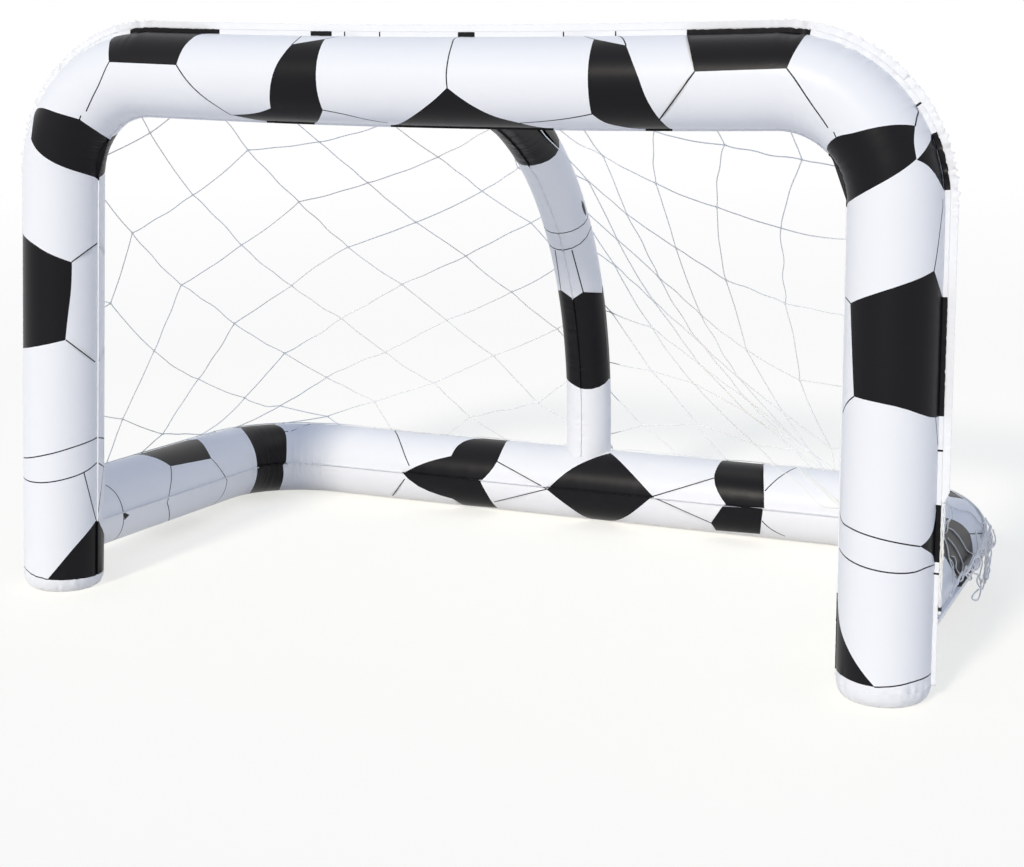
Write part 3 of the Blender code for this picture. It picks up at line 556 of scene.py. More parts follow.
def vinyl(name, white, crease=1.0, roughness=(0.3, 0.42), depth=0.0009):
    """Semi-gloss vinyl: white with a faint unevenness, black where the piece's ink attribute is 1."""
    material, tree, shader = new_material(name)
    coords = tree.nodes.new("ShaderNodeTexCoord")
    marks = tree.nodes.new("ShaderNodeGroup")
    marks.node_tree = creases
    marks.inputs["Crease"].default_value = crease
    link(tree, coords.outputs["Object"], marks.inputs["Vector"])
    ink = tree.nodes.new("ShaderNodeAttribute")
    ink.attribute_name = "ink"
    pale = mixer(tree, white, (white[0] * 0.965, white[1] * 0.97, white[2] * 0.985))
    dark = mixer(tree, (0.0035, 0.003, 0.0045), (0.0075, 0.007, 0.0095))
    print_mix = mixer(tree)
    link(tree, marks.outputs["Dust"], pale.inputs["Factor"])
    link(tree, marks.outputs["Dust"], dark.inputs["Factor"])
    link(tree, ink.outputs["Fac"], print_mix.inputs["Factor"])
    link(tree, pale.outputs["Result"], print_mix.inputs["A"])
    link(tree, dark.outputs["Result"], print_mix.inputs["B"])
    link(tree, print_mix.outputs["Result"], shader.inputs["Base Color"])
    gloss = tree.nodes.new("ShaderNodeMapRange")
    gloss.inputs["To Min"].default_value, gloss.inputs["To Max"].default_value = roughness
    link(tree, marks.outputs["Dust"], gloss.inputs["Value"])
    link(tree, gloss.outputs["Result"], shader.inputs["Roughness"])
    relief = new_node(tree, "ShaderNodeBump", Strength=0.55, Distance=depth)
    link(tree, marks.outputs["Height"], relief.inputs["Height"])
    link(tree, relief.outputs["Normal"], shader.inputs["Normal"])
    shader.inputs["Specular IOR Level"].default_value = 0.16
    return material


def goal_piece(piece, material, slot, *nodes, body="goal"):
    """Dress a piece, let it ride on its body, and let it stand for its CAD nodes."""
    if not piece.data.materials:
        piece.data.materials.append(material)
    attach(piece, body)
    if nodes:
        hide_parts(*nodes)
    return piece


def spaced(length, bends, calm=0.011, fine=0.0055):
    """Stations along a tube, closer together where it bends."""
    found = [0.0]
    while found[-1] < length:
        found.append(found[-1] + calm + (fine - calm) * float(bends(np.array(found[-1]))))
    return np.array(found) * length / found[-1]


ARCH_PATCHES = [
    [(2.829, 73), (2.657, 77), (2.654, 64), (2.651, 50), (2.646, 35), (2.640, 15), (2.625, 4), (2.604, 0),
     (2.823, 0), (2.840, 12), (2.841, 27), (2.834, 51)],
    [(2.386, 39), (2.317, 23), (2.313, 42), (2.309, 74), (2.306, 106), (2.304, 134), (2.334, 160),
     (2.36, 180), (2.48, 180), (2.545, 152), (2.478, 145), (2.432, 134), (2.425, 115), (2.413, 86),
     (2.405, 71), (2.395, 56)],
    [(2.001, 98), (2.029, 112), (2.063, 127), (2.095, 141), (2.141, 163), (2.175, 180), (1.80, 180),
     (1.858, 153), (1.906, 139), (1.946, 123), (1.973, 111)],
    [(1.700, 23), (1.623, 40), (1.603, 63), (1.584, 87), (1.571, 109), (1.560, 127), (1.545, 158),
     (1.543, 180), (1.60, 180), (1.643, 161), (1.668, 151), (1.682, 141), (1.692, 132), (1.691, 104),
     (1.693, 69), (1.695, 49)],
    [(1.515, 0), (1.470, 79), (1.290, 75), (1.287, 59), (1.284, 38), (1.286, 0)],
    [(1.134, 123), (1.114, 102), (1.098, 79), (1.084, 56), (1.070, 32), (1.047, 44), (1.023, 48), (1.009, 73),
     (0.993, 102), (0.951, 168), (0.945, 180), (1.130, 180), (1.134, 170)],
    [(1.022, 48), (1.032, 33), (1.042, 17), (1.052, 0), (0.972, 0), (0.975, 9), (0.992, 22), (1.009, 34)],
    [(0.829, 27), (0.775, 0), (0.542, 0), (0.542, 13), (0.570, 74), (0.582, 128), (0.674, 134),
     (0.762, 140), (0.793, 88), (0.818, 45)],
    [(0.293, 37), (0.306, 20), (0.328, 6), (0.355, 0), (0.247, 0), (0.260, 4), (0.283, 26)],
    [(0.148, 157), (0.115, 146), (0.084, 130), (0.050, 111), (0.013, 89), (0.015, 111), (0.018, 131),
     (0.020, 180), (0.17, 180)],
    [(3.025, 55), (3.000, 92), (2.975, 121), (2.978, 145), (3.001, 180), (3.164, 180), (3.148, 157),
     (3.131, 128), (3.115, 101), (3.099, 78), (3.086, 63), (3.063, 56), (3.045, 44), (3.035, 44)],
    [(3.285, 0), (3.290, 25), (3.298, 49), (3.316, 81), (3.333, 103), (3.354, 137), (3.413, 136),
     (3.486, 131), (3.535, 128), (3.565, 46), (3.57, 0)],
    [(3.971, 180), (4.017, 148), (4.107, 102), (4.13, 90), (4.13, 180)],
]
ARCH_LINES = [
    [(2.829, 73), (2.860, 96), (2.902, 111), (2.942, 120)], [(2.964, 119), (2.975, 121)],
    [(2.657, 77), (2.621, 102), (2.589, 121), (2.565, 135), (2.545, 152)],
    [(2.386, 39), (2.385, 13), (2.369, 0)], [(2.317, 23), (2.297, 4), (2.253, 0)],
    [(2.304, 134), (2.251, 142), (2.201, 154), (2.167, 161)],
    [(2.009, 0), (2.014, 15), (2.007, 41), (2.004, 64), (2.003, 84), (2.001, 98)],
    [(1.691, 133), (1.760, 143), (1.858, 153)], [(1.780, 0), (1.732, 5), (1.700, 23)],
    [(1.666, 0), (1.640, 21), (1.623, 40)], [(1.470, 79), (1.554, 144)],
    [(1.290, 75), (1.227, 105), (1.164, 121)], [(1.146, 120), (1.134, 123)],
    [(1.070, 32), (1.081, 20), (1.088, 9), (1.096, 0)], [(0.960, 10), (0.913, 16), (0.864, 22), (0.829, 27)],
    [(0.582, 128), (0.565, 143), (0.543, 157)], [(0.762, 140), (0.771, 158)], [(0.542, 13), (0.482, 0)],
    [(0.343, 163), (0.330, 152), (0.321, 126), (0.313, 99), (0.304, 70), (0.293, 37)],
    [(0.270, 158), (0.266, 149), (0.256, 125), (0.248, 98), (0.243, 69), (0.243, 45), (0.248, 25),
     (0.246, 0)],
    [(0.013, 89), (0.017, 65), (0.023, 40), (0.025, 17), (0.025, 0)],
    [(3.353, 137), (3.312, 180)], [(3.535, 129), (3.591, 175)],
    [(3.831, 0), (3.828, 43), (3.803, 110), (3.789, 138), (3.773, 180)],
    [(3.875, 0), (3.876, 48), (3.877, 75), (3.874, 98), (3.863, 130), (3.851, 155), (3.833, 180)],
    [(3.851, 155), (3.971, 178)], [(4.094, 0), (4.095, 57), (4.102, 77), (4.105, 92), (4.107, 102)],
]
arch_girth = 2 * math.pi * POST_RADIUS
printed_vinyl = vinyl("printed_vinyl", (0.9, 0.9, 0.905))
arch_tube = printed_skin(
    "arch_tube", arch_skin, lambda v: 0.0 * v, lambda v: ARCH_TOTAL + 0.0 * v,
    printed(ARCH_PATCHES, ARCH_LINES, POST_RADIUS, 0, 180), spaced(ARCH_TOTAL, arch_bends), arch_girth,
    lambda points: points)
goal_piece(arch_tube, printed_vinyl, "printed_vinyl", "arch_front_sheet", "arch_rear_sheet")


# Floor tube: a U of the same printed vinyl that lies on the floor at the back. Its two legs run
# forward and are welded to the backs of the posts, and its seams lie on its inner and outer sides.
BASE_RADIUS = 0.094
BASE_BEND = 0.24
BASE_FACING = np.array((0.0, 0.0, 1.0))
LEG_X = POST_X + POST_SPLAY * (1 - BASE_HEIGHT / CORNER_Z)
LEG_START = 0.004
WELD_GAP = 0.0003
BASE_LENGTHS = (REAR_Y - BASE_BEND - LEG_START, BASE_BEND * math.pi / 2, LEG_X - BASE_BEND)
BASE_TOTAL = 2 * sum(BASE_LENGTHS)


def base_line(s):
    """Centre of the floor tube: straight back along a leg, a quarter circle, then across the rear."""
    leg, corner, half = BASE_LENGTHS
    middle = leg + corner + half
    near_half = np.where(s > middle, 2 * middle - s, s)
    turn = np.clip((near_half - leg) / BASE_BEND, 0, math.pi / 2)
    x = np.where(near_half < leg + corner, LEG_X - BASE_BEND * (1 - np.cos(turn)), middle - near_half)
    y = np.where(near_half < leg, LEG_START + near_half, REAR_Y - BASE_BEND * (1 - np.sin(turn)))
    return np.stack((np.where(s > middle, -x, x), y, BASE_HEIGHT + 0 * x), -1)


def base_bends(s):
    """How much the floor tube bends at s: 1 in its two corners, 0 along the straight parts."""
    leg, corner, _ = BASE_LENGTHS
    return np.maximum(bump_up(s, leg, leg + corner),
                      bump_up(s, BASE_TOTAL - leg - corner, BASE_TOTAL - leg))


def base_skin(s, v):
    """The floor tube's surface, v metres round it from the outer weld over the top."""
    centre, outward = along(base_line, s, BASE_FACING)
    a = v / BASE_RADIUS
    around = np.minimum(v, 2 * math.pi * BASE_RADIUS - v)
    bend = base_bends(s)
    radius = BASE_RADIUS + weld_puckers(s, around, bend, 41) \
        + weld_puckers(s, math.pi * BASE_RADIUS - around, bend, 53, drawn=0.0010)
    end = np.minimum(s, BASE_TOTAL - s)
    radius = radius + 0.0010 * np.exp(-end / 0.05) * (ripple(v, 0.05, 61) - 0.5)
    a, radius = a[..., None], radius[..., None]
    return stood(centre + radius * (np.cos(a) * outward + np.sin(a) * BASE_FACING))


def pushed_off(points, start, end, radius):
    """Points moved straight out from a rod's axis onto the rod's surface."""
    axis = (end - start) / np.linalg.norm(end - start)
    foot = start + ((points - start) @ axis)[..., None] * axis
    off = points - foot
    return foot + off / np.linalg.norm(off, axis=-1, keepdims=True) * radius


def on_post(points):
    """Points of a leg's closed end, moved onto the round back of their post."""
    side = math.copysign(1.0, points[:, 0].mean())
    axis = [stood((side * (POST_X + POST_SPLAY * (1 - z / CORNER_Z)), 0.0, z)) for z in (0.1, 0.4)]
    return pushed_off(points, *axis, POST_RADIUS + WELD_GAP)


def leg_end(v):
    """Where the leg meets the round back of its post."""
    across = BASE_RADIUS * np.cos(v / BASE_RADIUS)
    return np.sqrt((POST_RADIUS + WELD_GAP) ** 2 - across ** 2) - LEG_START


LEFT_PATCHES = [
    [(3.334, 71), (3.346, 88), (3.348, 99), (3.338, 118), (3.325, 135), (3.144, 143), (3.136, 129),
     (3.116, 109), (3.090, 86), (3.078, 71)],
    [(2.866, 71), (2.885, 88), (2.910, 120), (2.922, 150), (2.926, 180), (2.920, 202), (2.910, 225),
     (2.892, 246), (2.885, 271), (2.770, 271), (2.778, 230), (2.778, 198), (2.784, 180), (2.770, 179),
     (2.763, 156), (2.759, 120), (2.778, 91), (2.800, 71)],
    [(3.578, 180), (3.549, 188), (3.568, 194)],
    [(3.290, 249), (3.200, 246), (3.115, 247), (3.115, 271), (3.290, 271)],
    [(2.345, 182), (2.292, 164), (2.209, 145), (2.199, 119), (2.172, 94), (2.082, 79), (2.070, 129),
     (2.073, 147), (2.114, 183), (2.096, 207), (2.084, 243), (2.192, 257), (2.207, 225), (2.330, 191)],
    [(1.922, 185), (1.856, 145), (1.812, 124), (1.772, 103), (1.720, 131), (1.666, 158), (1.628, 178),
     (1.660, 196), (1.704, 221), (1.764, 253), (1.818, 255), (1.855, 219), (1.887, 201)],
    [(1.472, 139), (1.473, 112), (1.471, 79), (1.366, 79), (1.332, 179), (1.430, 181)],
    [(1.441, 183), (1.335, 180), (1.350, 233), (1.468, 238), (1.475, 216)],
]
LEFT_LINES = [
    [(3.325, 135), (3.351, 155), (3.371, 172), (3.383, 189), (3.356, 210), (3.295, 247)],
    [(3.144, 143), (3.126, 162), (3.095, 186), (3.095, 205), (3.097, 226), (3.111, 243)],
    [(3.605, 133), (3.591, 147), (3.584, 162), (3.575, 185), (3.569, 201), (3.559, 226), (3.550, 247)],
    [(2.758, 120), (2.748, 120)], [(2.735, 119), (2.658, 80)],
    [(2.432, 79), (2.364, 135), (2.328, 168)], [(2.341, 192), (2.397, 237)],
    [(2.076, 146), (1.922, 184)], [(2.082, 221), (1.922, 184)], [(1.630, 179), (1.472, 139)],
    [(1.630, 179), (1.475, 216)], [(1.334, 152), (1.312, 132), (1.288, 108), (1.270, 82)],
    [(1.338, 201), (1.314, 217), (1.284, 231)],
]
RIGHT_PATCHES = [
    [(0.552, 75), (0.572, 54), (0.572, 36), (0.526, 15), (0.45, -10), (0.30, -5), (0.28, 40), (0.33, 78)],
    [(0.877, 68), (0.796, 65), (0.777, 88), (0.84, 95)],
]
RIGHT_LINES = [[(0.572, 36), (0.718, 17)], [(0.718, 17), (0.653, 7), (0.600, -20)],
               [(0.718, 17), (0.796, 65)]]
base_girth = 2 * math.pi * BASE_RADIUS
base_tube = printed_skin(
    "base_tube", base_skin, leg_end, lambda v: BASE_TOTAL - leg_end(v),
    printed(LEFT_PATCHES, LEFT_LINES, BASE_RADIUS, 90, 270)
    + printed(RIGHT_PATCHES, RIGHT_LINES, BASE_RADIUS, -90, 90),
    spaced(BASE_TOTAL, base_bends), base_girth, on_post)
goal_piece(base_tube, printed_vinyl, "printed_vinyl", "base_top_sheet", "base_bottom_sheet")


# Brace: a thinner arched tube of two printed sheets, from the back of the crossbar down to the top
# of the rear tube. It has its own air chamber and holds the net up in the middle.
BRACE_RADIUS = 0.0583
BRACE_POWER = 0.942
BRACE_FACING = np.array((-1.0, 0.0, 0.0))
BRACE_FOOT_Z = BASE_HEIGHT + BASE_RADIUS
BRACE_RISE = CROSSBAR_Z - CROSSBAR_SAG - BRACE_FOOT_Z
BRACE_BEND = 0.25
BRACE_STEP = 2e-3
BRACE_MIDDLE_Z = 0.7


def brace_arc(turn):
    """The brace by its turn: a slightly squared quarter ellipse, then straight down."""
    bow = np.clip(turn, 0, math.pi / 2)
    below = np.maximum(turn - math.pi / 2, 0)
    return np.stack((0 * turn, REAR_Y * np.sin(bow) ** BRACE_POWER,
                     BRACE_FOOT_Z + BRACE_RISE * (np.cos(bow) ** BRACE_POWER - below)), -1)


brace_turns = np.linspace(0, math.pi / 2 + 0.08, 4001)
brace_metres = np.concatenate(([0.0], np.cumsum(np.linalg.norm(np.diff(brace_arc(brace_turns), axis=0),
                                                               axis=1))))
BRACE_TOTAL = brace_metres[-1]


def brace_line(s):
    """Centre of the brace s metres from the crossbar's middle."""
    return brace_arc(np.interp(s, brace_metres, brace_turns))


BRACE_VALVE = ((-0.056081, 0.478038, 0.474903), (-0.98061, 0.192204, 0.038242),
               (-0.195972, -0.961758, -0.191355))
PAD_FLAT = 0.016
PAD_REACH = 0.036


def padded_flat(points, place):
    """Points pressed down to the flat that a valve is welded on: what stands above its plane sinks
    onto it, wholly out to PAD_FLAT from its axis and ever less out to PAD_REACH."""
    origin, axis, _ = (np.array(part) for part in place)
    away = points - origin
    height = away @ axis
    aside = np.linalg.norm(away - height[..., None] * axis, axis=-1)
    share = np.clip((PAD_REACH - aside) / (PAD_REACH - PAD_FLAT), 0, 1)
    share = share * share * (3 - 2 * share)
    return points - (share * np.maximum(height, 0.0))[..., None] * axis


def brace_skin(s, v):
    """The brace's surface, v metres round it from its back over its left side, flat under its valve."""
    inside = np.clip(s, BRACE_STEP, BRACE_TOTAL - BRACE_STEP)
    _, outward = along(brace_line, inside, BRACE_FACING, BRACE_STEP)
    a = v / BRACE_RADIUS
    around = np.minimum(v, 2 * math.pi * BRACE_RADIUS - v)
    radius = BRACE_RADIUS + weld_puckers(s, around, BRACE_BEND, 71) \
        + weld_puckers(s, math.pi * BRACE_RADIUS - around, BRACE_BEND, 83)
    a, radius = a[..., None], radius[..., None]
    skin = stood(brace_line(s) + radius * (np.cos(a) * outward + np.sin(a) * BRACE_FACING))
    return padded_flat(skin, BRACE_VALVE)


brace_girth = 2 * math.pi * BRACE_RADIUS
brace_rows = np.linspace(0, brace_girth, 73)
bar_middle = stood((0.0, 0.0, CROSSBAR_Z - CROSSBAR_SAG))
rear_middle = stood((0.0, REAR_Y, BASE_HEIGHT))


def meeting(middle, distances, radius):
    """Along each row of the brace, the distance at which it reaches a tube's surface."""
    s, v = np.meshgrid(distances, brace_rows, indexing="ij")
    off = np.linalg.norm((brace_skin(s, v) - middle)[..., 1:], axis=-1)
    return np.array([np.interp(radius + WELD_GAP, column, distances) for column in off.T])


brace_top = meeting(bar_middle, np.linspace(0.0, 0.3, 200), POST_RADIUS)
brace_low = meeting(rear_middle, np.linspace(BRACE_TOTAL, BRACE_TOTAL - 0.3, 200), BASE_RADIUS)


def on_bar_or_rear(points):
    """Points of the brace's closed end, moved onto the tube that it meets."""
    middle, radius = rear_middle, BASE_RADIUS
    if points[:, 2].mean() > BRACE_MIDDLE_Z:
        middle, radius = bar_middle, POST_RADIUS
    return pushed_off(points, middle, middle + (1.0, 0.0, 0.0), radius + WELD_GAP)


BRACE_PATCHES = [
    [(0.0, 90), (0.0, 271), (0.571, 271), (0.571, 268), (0.556, 189), (0.569, 136), (0.592, 90)],
    [(0.776, 271), (0.795, 263), (0.83, 268), (0.835, 271)],
    [(1.059, 90), (1.059, 120), (1.046, 144), (1.066, 180), (1.046, 209), (1.078, 270), (1.323, 270),
     (1.339, 188), (1.324, 137), (1.32, 90)],
]
BRACE_LINES = [
    [(0.848, 90), (0.848, 123), (0.842, 194), (0.845, 270)],
    [(0.904, 90), (0.904, 117), (0.902, 182), (0.881, 270)],
    [(0.909, 155), (1.046, 144)], [(0.905, 202), (1.046, 209)],
]
brace_tube = printed_skin(
    "brace_tube", brace_skin, lambda v: np.interp(v, brace_rows, brace_top),
    lambda v: np.interp(v, brace_rows, brace_low),
    printed(BRACE_PATCHES, BRACE_LINES, BRACE_RADIUS, 90, 270),
    spaced(BRACE_TOTAL, lambda s: 0.6), brace_girth, on_bar_or_rear)
goal_piece(brace_tube, printed_vinyl, "printed_vinyl", "brace_left_sheet", "brace_right_sheet")


# Weld margins. Where two sheets are welded, a flat edge is left outside the tube. It is stiff and
# nearly straight along a straight tube, and ruffled where the tube bends and the edge is too long.
WELD_THICKNESS = 0.0007
ARCH_OUTER_MARGIN = 0.010
ARCH_INNER_MARGIN = 0.004
BASE_MARGIN = 0.008
BRACE_MARGIN = 0.004
MARGIN_ROOT = 0.0012
INK_CLEAR = 0.0015


def lofted(name, parts, ink=None, maps=None):
    """One object of closed bodies, each through its rings of points: quads along it, a fan over each
    end."""
    all_points, all_faces, all_places, count = [], [], [], 0
    for number, rings in enumerate(parts):
        rows, around = rings.shape[:2]
        vertices = np.concatenate((rings.reshape(-1, 3), rings[[0, -1]].mean(1)))
        row, k = (g.ravel() for g in np.meshgrid(np.arange(rows - 1), np.arange(around), indexing="ij"))
        after = (k + 1) % around
        quads = np.stack((row * around + k, row * around + after, (row + 1) * around + after,
                          (row + 1) * around + k), -1)
        column = np.stack((row, row, row + 1, row + 1), -1)
        wrap = k[:, None] + (0, 1, 1, 0)
        k = np.arange(around)
        after = (k + 1) % around
        last = (rows - 1) * around
        caps = np.concatenate((np.stack((after, k, 0 * k + rows * around), -1),
                               np.stack((last + k, last + after, 0 * k + rows * around + 1), -1)))
        volume = 0.0
        for fan in (quads[:, [0, 1, 2]], quads[:, [0, 2, 3]], caps):
            a, b, c = vertices[fan].transpose(1, 0, 2) - vertices[0]
            volume += np.sum(np.cross(a, b) * c)
        if volume < 0:
            quads, caps, column, wrap = quads[:, ::-1], caps[:, ::-1], column[:, ::-1], wrap[:, ::-1]
        all_points += vertices.tolist()
        all_faces += (quads + count).tolist() + (caps + count).tolist()
        count += len(vertices)
        if maps is not None:
            along_map, round_map = maps[number]
            all_places.append(np.stack((along_map[column], wrap * round_map / around), -1).reshape(-1, 2))
            all_places.append(np.zeros((3 * len(caps), 2)))
    mesh = bpy.data.meshes.new(name)
    mesh.from_pydata(all_points, [], all_faces)
    mesh.polygons.foreach_set("use_smooth", np.ones(len(all_faces), bool))
    if ink is not None:
        values = np.concatenate((np.repeat(ink, around), ink[[0] * around + [-1] * around]))
        mesh.attributes.new("ink", "FLOAT", "FACE").data.foreach_set("value", values.astype(np.float32))
    if maps is not None:
        mesh.uv_layers.new(name="sheet").data.foreach_set(
            "uv", np.concatenate(all_places).reshape(-1).astype(np.float32))
    mesh.update()
    piece = bpy.data.objects.new(name, mesh)
    bpy.context.scene.collection.objects.link(piece)
    return piece


def band(line, facing, s, inner, outer, wave, thickness, columns=7, step=1e-4):
    """Rings of a flat band beside a tube: from inner to outer metres off the tube's line, with a
    wave that grows from nothing at its inner edge, first up its front and then down its back."""
    centre, outward = along(line, s, facing, step)
    share = np.linspace(0, 1, columns)
    reach = inner[:, None] + share * (outer - inner)[:, None]
    lift = wave[:, None] * share ** 1.4
    half = thickness / 2 * np.concatenate((np.ones(columns), -np.ones(columns)))
    reach = np.concatenate((reach, reach[:, ::-1]), axis=1)
    lift = np.concatenate((lift, lift[:, ::-1]), axis=1) + half
    points = centre[:, None] + reach[..., None] * outward[:, None] + lift[..., None] * facing
    return stood(points)


def with_edges(stations, inked):
    """Stations of a margin with those of its printed parts added, and the ink between them."""
    stops = np.array([edge for part in inked for edge in part])
    stops = stops[(stops > stations[0]) & (stops < stations[-1])]
    kept = stations[[np.abs(stops - s).min(initial=1) > INK_CLEAR for s in stations]]
    found = np.sort(np.concatenate((kept, stops)))
    middle = (found[1:] + found[:-1]) / 2
    return found, np.array([float(any(low < m < high for low, high in inked)) for m in middle])


def weld_margin(name, line, facing, stations, radius, width, inked, wave, side=1, step=1e-4):
    """One margin: a stiff band from just inside the skin out to its width, its free edge uneven."""
    s, ink = with_edges(stations, inked)
    edge = width * (1 + 0.10 * ripple(s, 0.021, 5) * np.minimum(1, np.abs(wave(s)) / 0.001))
    rings = band(line, facing, s, side * (radius - MARGIN_ROOT + 0 * s), side * (radius + edge), wave(s),
                 WELD_THICKNESS, step=step)
    piece = lofted(name, [rings], ink)
    return goal_piece(piece, printed_vinyl, "printed_vinyl")


ARCH_OUTER_INK = [(0.226, 0.230), (0.251, 0.366), (0.472, 0.476), (0.542, 0.775), (0.972, 1.052),
                  (1.095, 1.098), (1.282, 1.515), (1.665, 1.668), (1.779, 1.782), (1.981, 2.020),
                  (2.203, 2.206), (2.288, 2.291), (2.321, 2.373), (2.604, 2.823), (3.285, 3.570),
                  (3.827, 3.830), (3.875, 3.878), (4.094, 4.097)]
ARCH_INNER_INK = [(0.013, 0.170), (0.945, 1.130), (1.543, 1.600), (1.800, 2.175), (2.360, 2.480),
                  (3.000, 3.166), (3.975, 4.106)]
fine_arch = spaced(ARCH_TOTAL, arch_bends, 0.006, 0.0035)
weld_margin("arch_outer_margin", arch_line, ARCH_FACING, fine_arch, POST_RADIUS, ARCH_OUTER_MARGIN,
            ARCH_OUTER_INK, lambda s: (0.0007 + 0.0019 * arch_bends(s)) * ripple(s, 0.031, 101))
weld_margin("arch_inner_margin", arch_line, ARCH_FACING, fine_arch, POST_RADIUS, ARCH_INNER_MARGIN,
            ARCH_INNER_INK, lambda s: (0.0004 + 0.0008 * arch_bends(s)) * ripple(s, 0.027, 102), side=-1)
BASE_INK = [(0.298, 0.480), (1.335, 1.435), (1.627, 1.922), (2.115, 2.345), (2.765, 2.928)]
BRACE_INK = [(0.0, 0.557), (0.841, 0.844), (0.902, 0.905), (1.066, 1.338)]
fine_base = spaced(BASE_TOTAL, base_bends, 0.007, 0.004)
fine_base = fine_base[(fine_base > 0.02) & (fine_base < BASE_TOTAL - 0.02)]
for name, side, seed in (("outer", 1, 103), ("inner", -1, 104)):
    weld_margin(f"base_{name}_margin", base_line, BASE_FACING, fine_base, BASE_RADIUS, BASE_MARGIN, BASE_INK,
                lambda s: (0.0005 + 0.0016 * base_bends(s)) * ripple(s, 0.029, seed), side)
for name, side, row, seed in (("back", 1, 0, 105), ("front", -1, 36, 106)):
    weld_margin(f"brace_{name}_margin", brace_line, BRACE_FACING,
                np.arange(brace_top[row] + 0.004, brace_low[row] - 0.006, 0.005), BRACE_RADIUS,
                BRACE_MARGIN, BRACE_INK, lambda s: 0.0006 * ripple(s, 0.027, seed), side, BRACE_STEP)


# Foot ends. Each post is closed by a round disc of plain white vinyl welded inside its end. Air and
# weight press it flat on the floor, and it crinkles where its curved shoulder is drawn in.
FOOT_CURVE = 0.034
FOOT_SINK = 0.007
FOOT_RINGS = 26
FOOT_SPOKES = 132
FOOT_TUCK = 0.008


def foot_end(end):
    """Rings of a foot: inside the tube's end, round its shoulder as a quarter ellipse, then flat to
    the middle."""
    v = np.linspace(0, 2 * math.pi * POST_RADIUS, FOOT_SPOKES, endpoint=False)
    centre, outward = along(arch_line, np.array(end), ARCH_FACING)
    up = np.cross(ARCH_FACING, outward) * math.copysign(1.0, outward[0])
    rim = np.linalg.norm(stood(arch_skin_upright(0 * v + end, v)) - stood(centre), axis=-1)
    turn = np.concatenate(([0.0, 0.0], np.linspace(0.02, math.pi / 2, FOOT_RINGS)))
    radius = POST_RADIUS - FOOT_CURVE * (1 - np.cos(turn))
    height = -(FOOT_RISE + FOOT_SINK) * np.sin(turn) - WELD_GAP
    height[0] = FOOT_TUCK
    grow = np.exp(-turn / 0.5)[:, None] * (rim / POST_RADIUS - 1)
    shoulder = np.exp(-((turn - 0.75) / 0.42) ** 2)[:, None]
    crinkle = 0.0017 * shoulder * np.minimum(0.35, ripple(v + 0.02 * np.sin(3 * v / POST_RADIUS), 0.03, 120))
    fold = 0.0009 * shoulder * ripple(v[None] + 0.05 * turn[:, None], 0.013, 121)
    reach = radius[:, None] * (1 + grow) + crinkle + fold
    reach[0] -= 0.0030
    reach[1] -= 0.0007
    flat = np.linspace(0.85, 0.12, 6)[:, None] * reach[-1]
    reach = np.concatenate((reach, flat))
    height = np.concatenate((height, height[-1] + 0 * flat[:, 0]))
    a = v / POST_RADIUS
    sides = np.cos(a)[:, None] * outward + np.sin(a)[:, None] * ARCH_FACING
    return stood(centre + reach[..., None] * sides + height[:, None, None] * up)


white_vinyl = vinyl("white_vinyl", (0.88, 0.88, 0.885), crease=1.6, roughness=(0.28, 0.4), depth=0.0013)
for side, end in (("right", 0.0), ("left", ARCH_TOTAL)):
    foot = lofted("foot_end_" + side, [foot_end(end)])
    goal_piece(foot, white_vinyl, "white_vinyl", "foot_disc_" + side)


# Net tape. Three lengths of woven white tape are sewn along the arch's outer weld, and the net's
# edge is caught behind them. At the top corners the tape is too long and stands in small ruffles.
TAPE_WIDTH = 0.015
TAPE_THICKNESS = 0.0006
TAPE_INNER = POST_RADIUS + ARCH_OUTER_MARGIN + WELD_GAP
TAPE_LOW = 0.40 - FOOT_RISE
TAPE_BEND = ARCH_LENGTHS[0] + ARCH_LENGTHS[1] / 2
TAPE_STEP = 0.0032
TAPE_SLANT = 0.022


def woven(name, colour, pitch, depth, roughness):
    """Plain woven tape: two crossing sets of threads as sine waves over the sheet map, with painted
    shade where they sink.
    """
    material, tree, shader = new_material(name)
    sheet_map = tree.nodes.new("ShaderNodeUVMap")
    sheet_map.uv_map = "sheet"
    threads = []
    for direction in ("X", "Y"):
        wave = new_node(tree, "ShaderNodeTexWave", Scale=math.pi / (10 * pitch), Distortion=0.6)
        wave.bands_direction = direction
        link(tree, sheet_map.outputs["UV"], wave.inputs["Vector"])
        threads.append(wave)
    cross = math_node(tree, "MULTIPLY")
    link(tree, threads[0].outputs["Fac"], cross.inputs[0])
    link(tree, threads[1].outputs["Fac"], cross.inputs[1])
    # Painted shade: the tape is a little darker where the crossing threads lie low, as the bump does.
    tone = mixer(tree, [0.95 * c for c in colour], colour)
    link(tree, cross.outputs[0], tone.inputs["Factor"])
    link(tree, tone.outputs["Result"], shader.inputs["Base Color"])
    relief = new_node(tree, "ShaderNodeBump", Strength=0.5, Distance=depth)
    link(tree, cross.outputs[0], relief.inputs["Height"])
    link(tree, relief.outputs["Normal"], shader.inputs["Normal"])
    shader.inputs["Roughness"].default_value = roughness
    return material


net_tape = woven("net_tape", (0.96, 0.96, 0.965), 0.0008, 0.0002, 0.75)


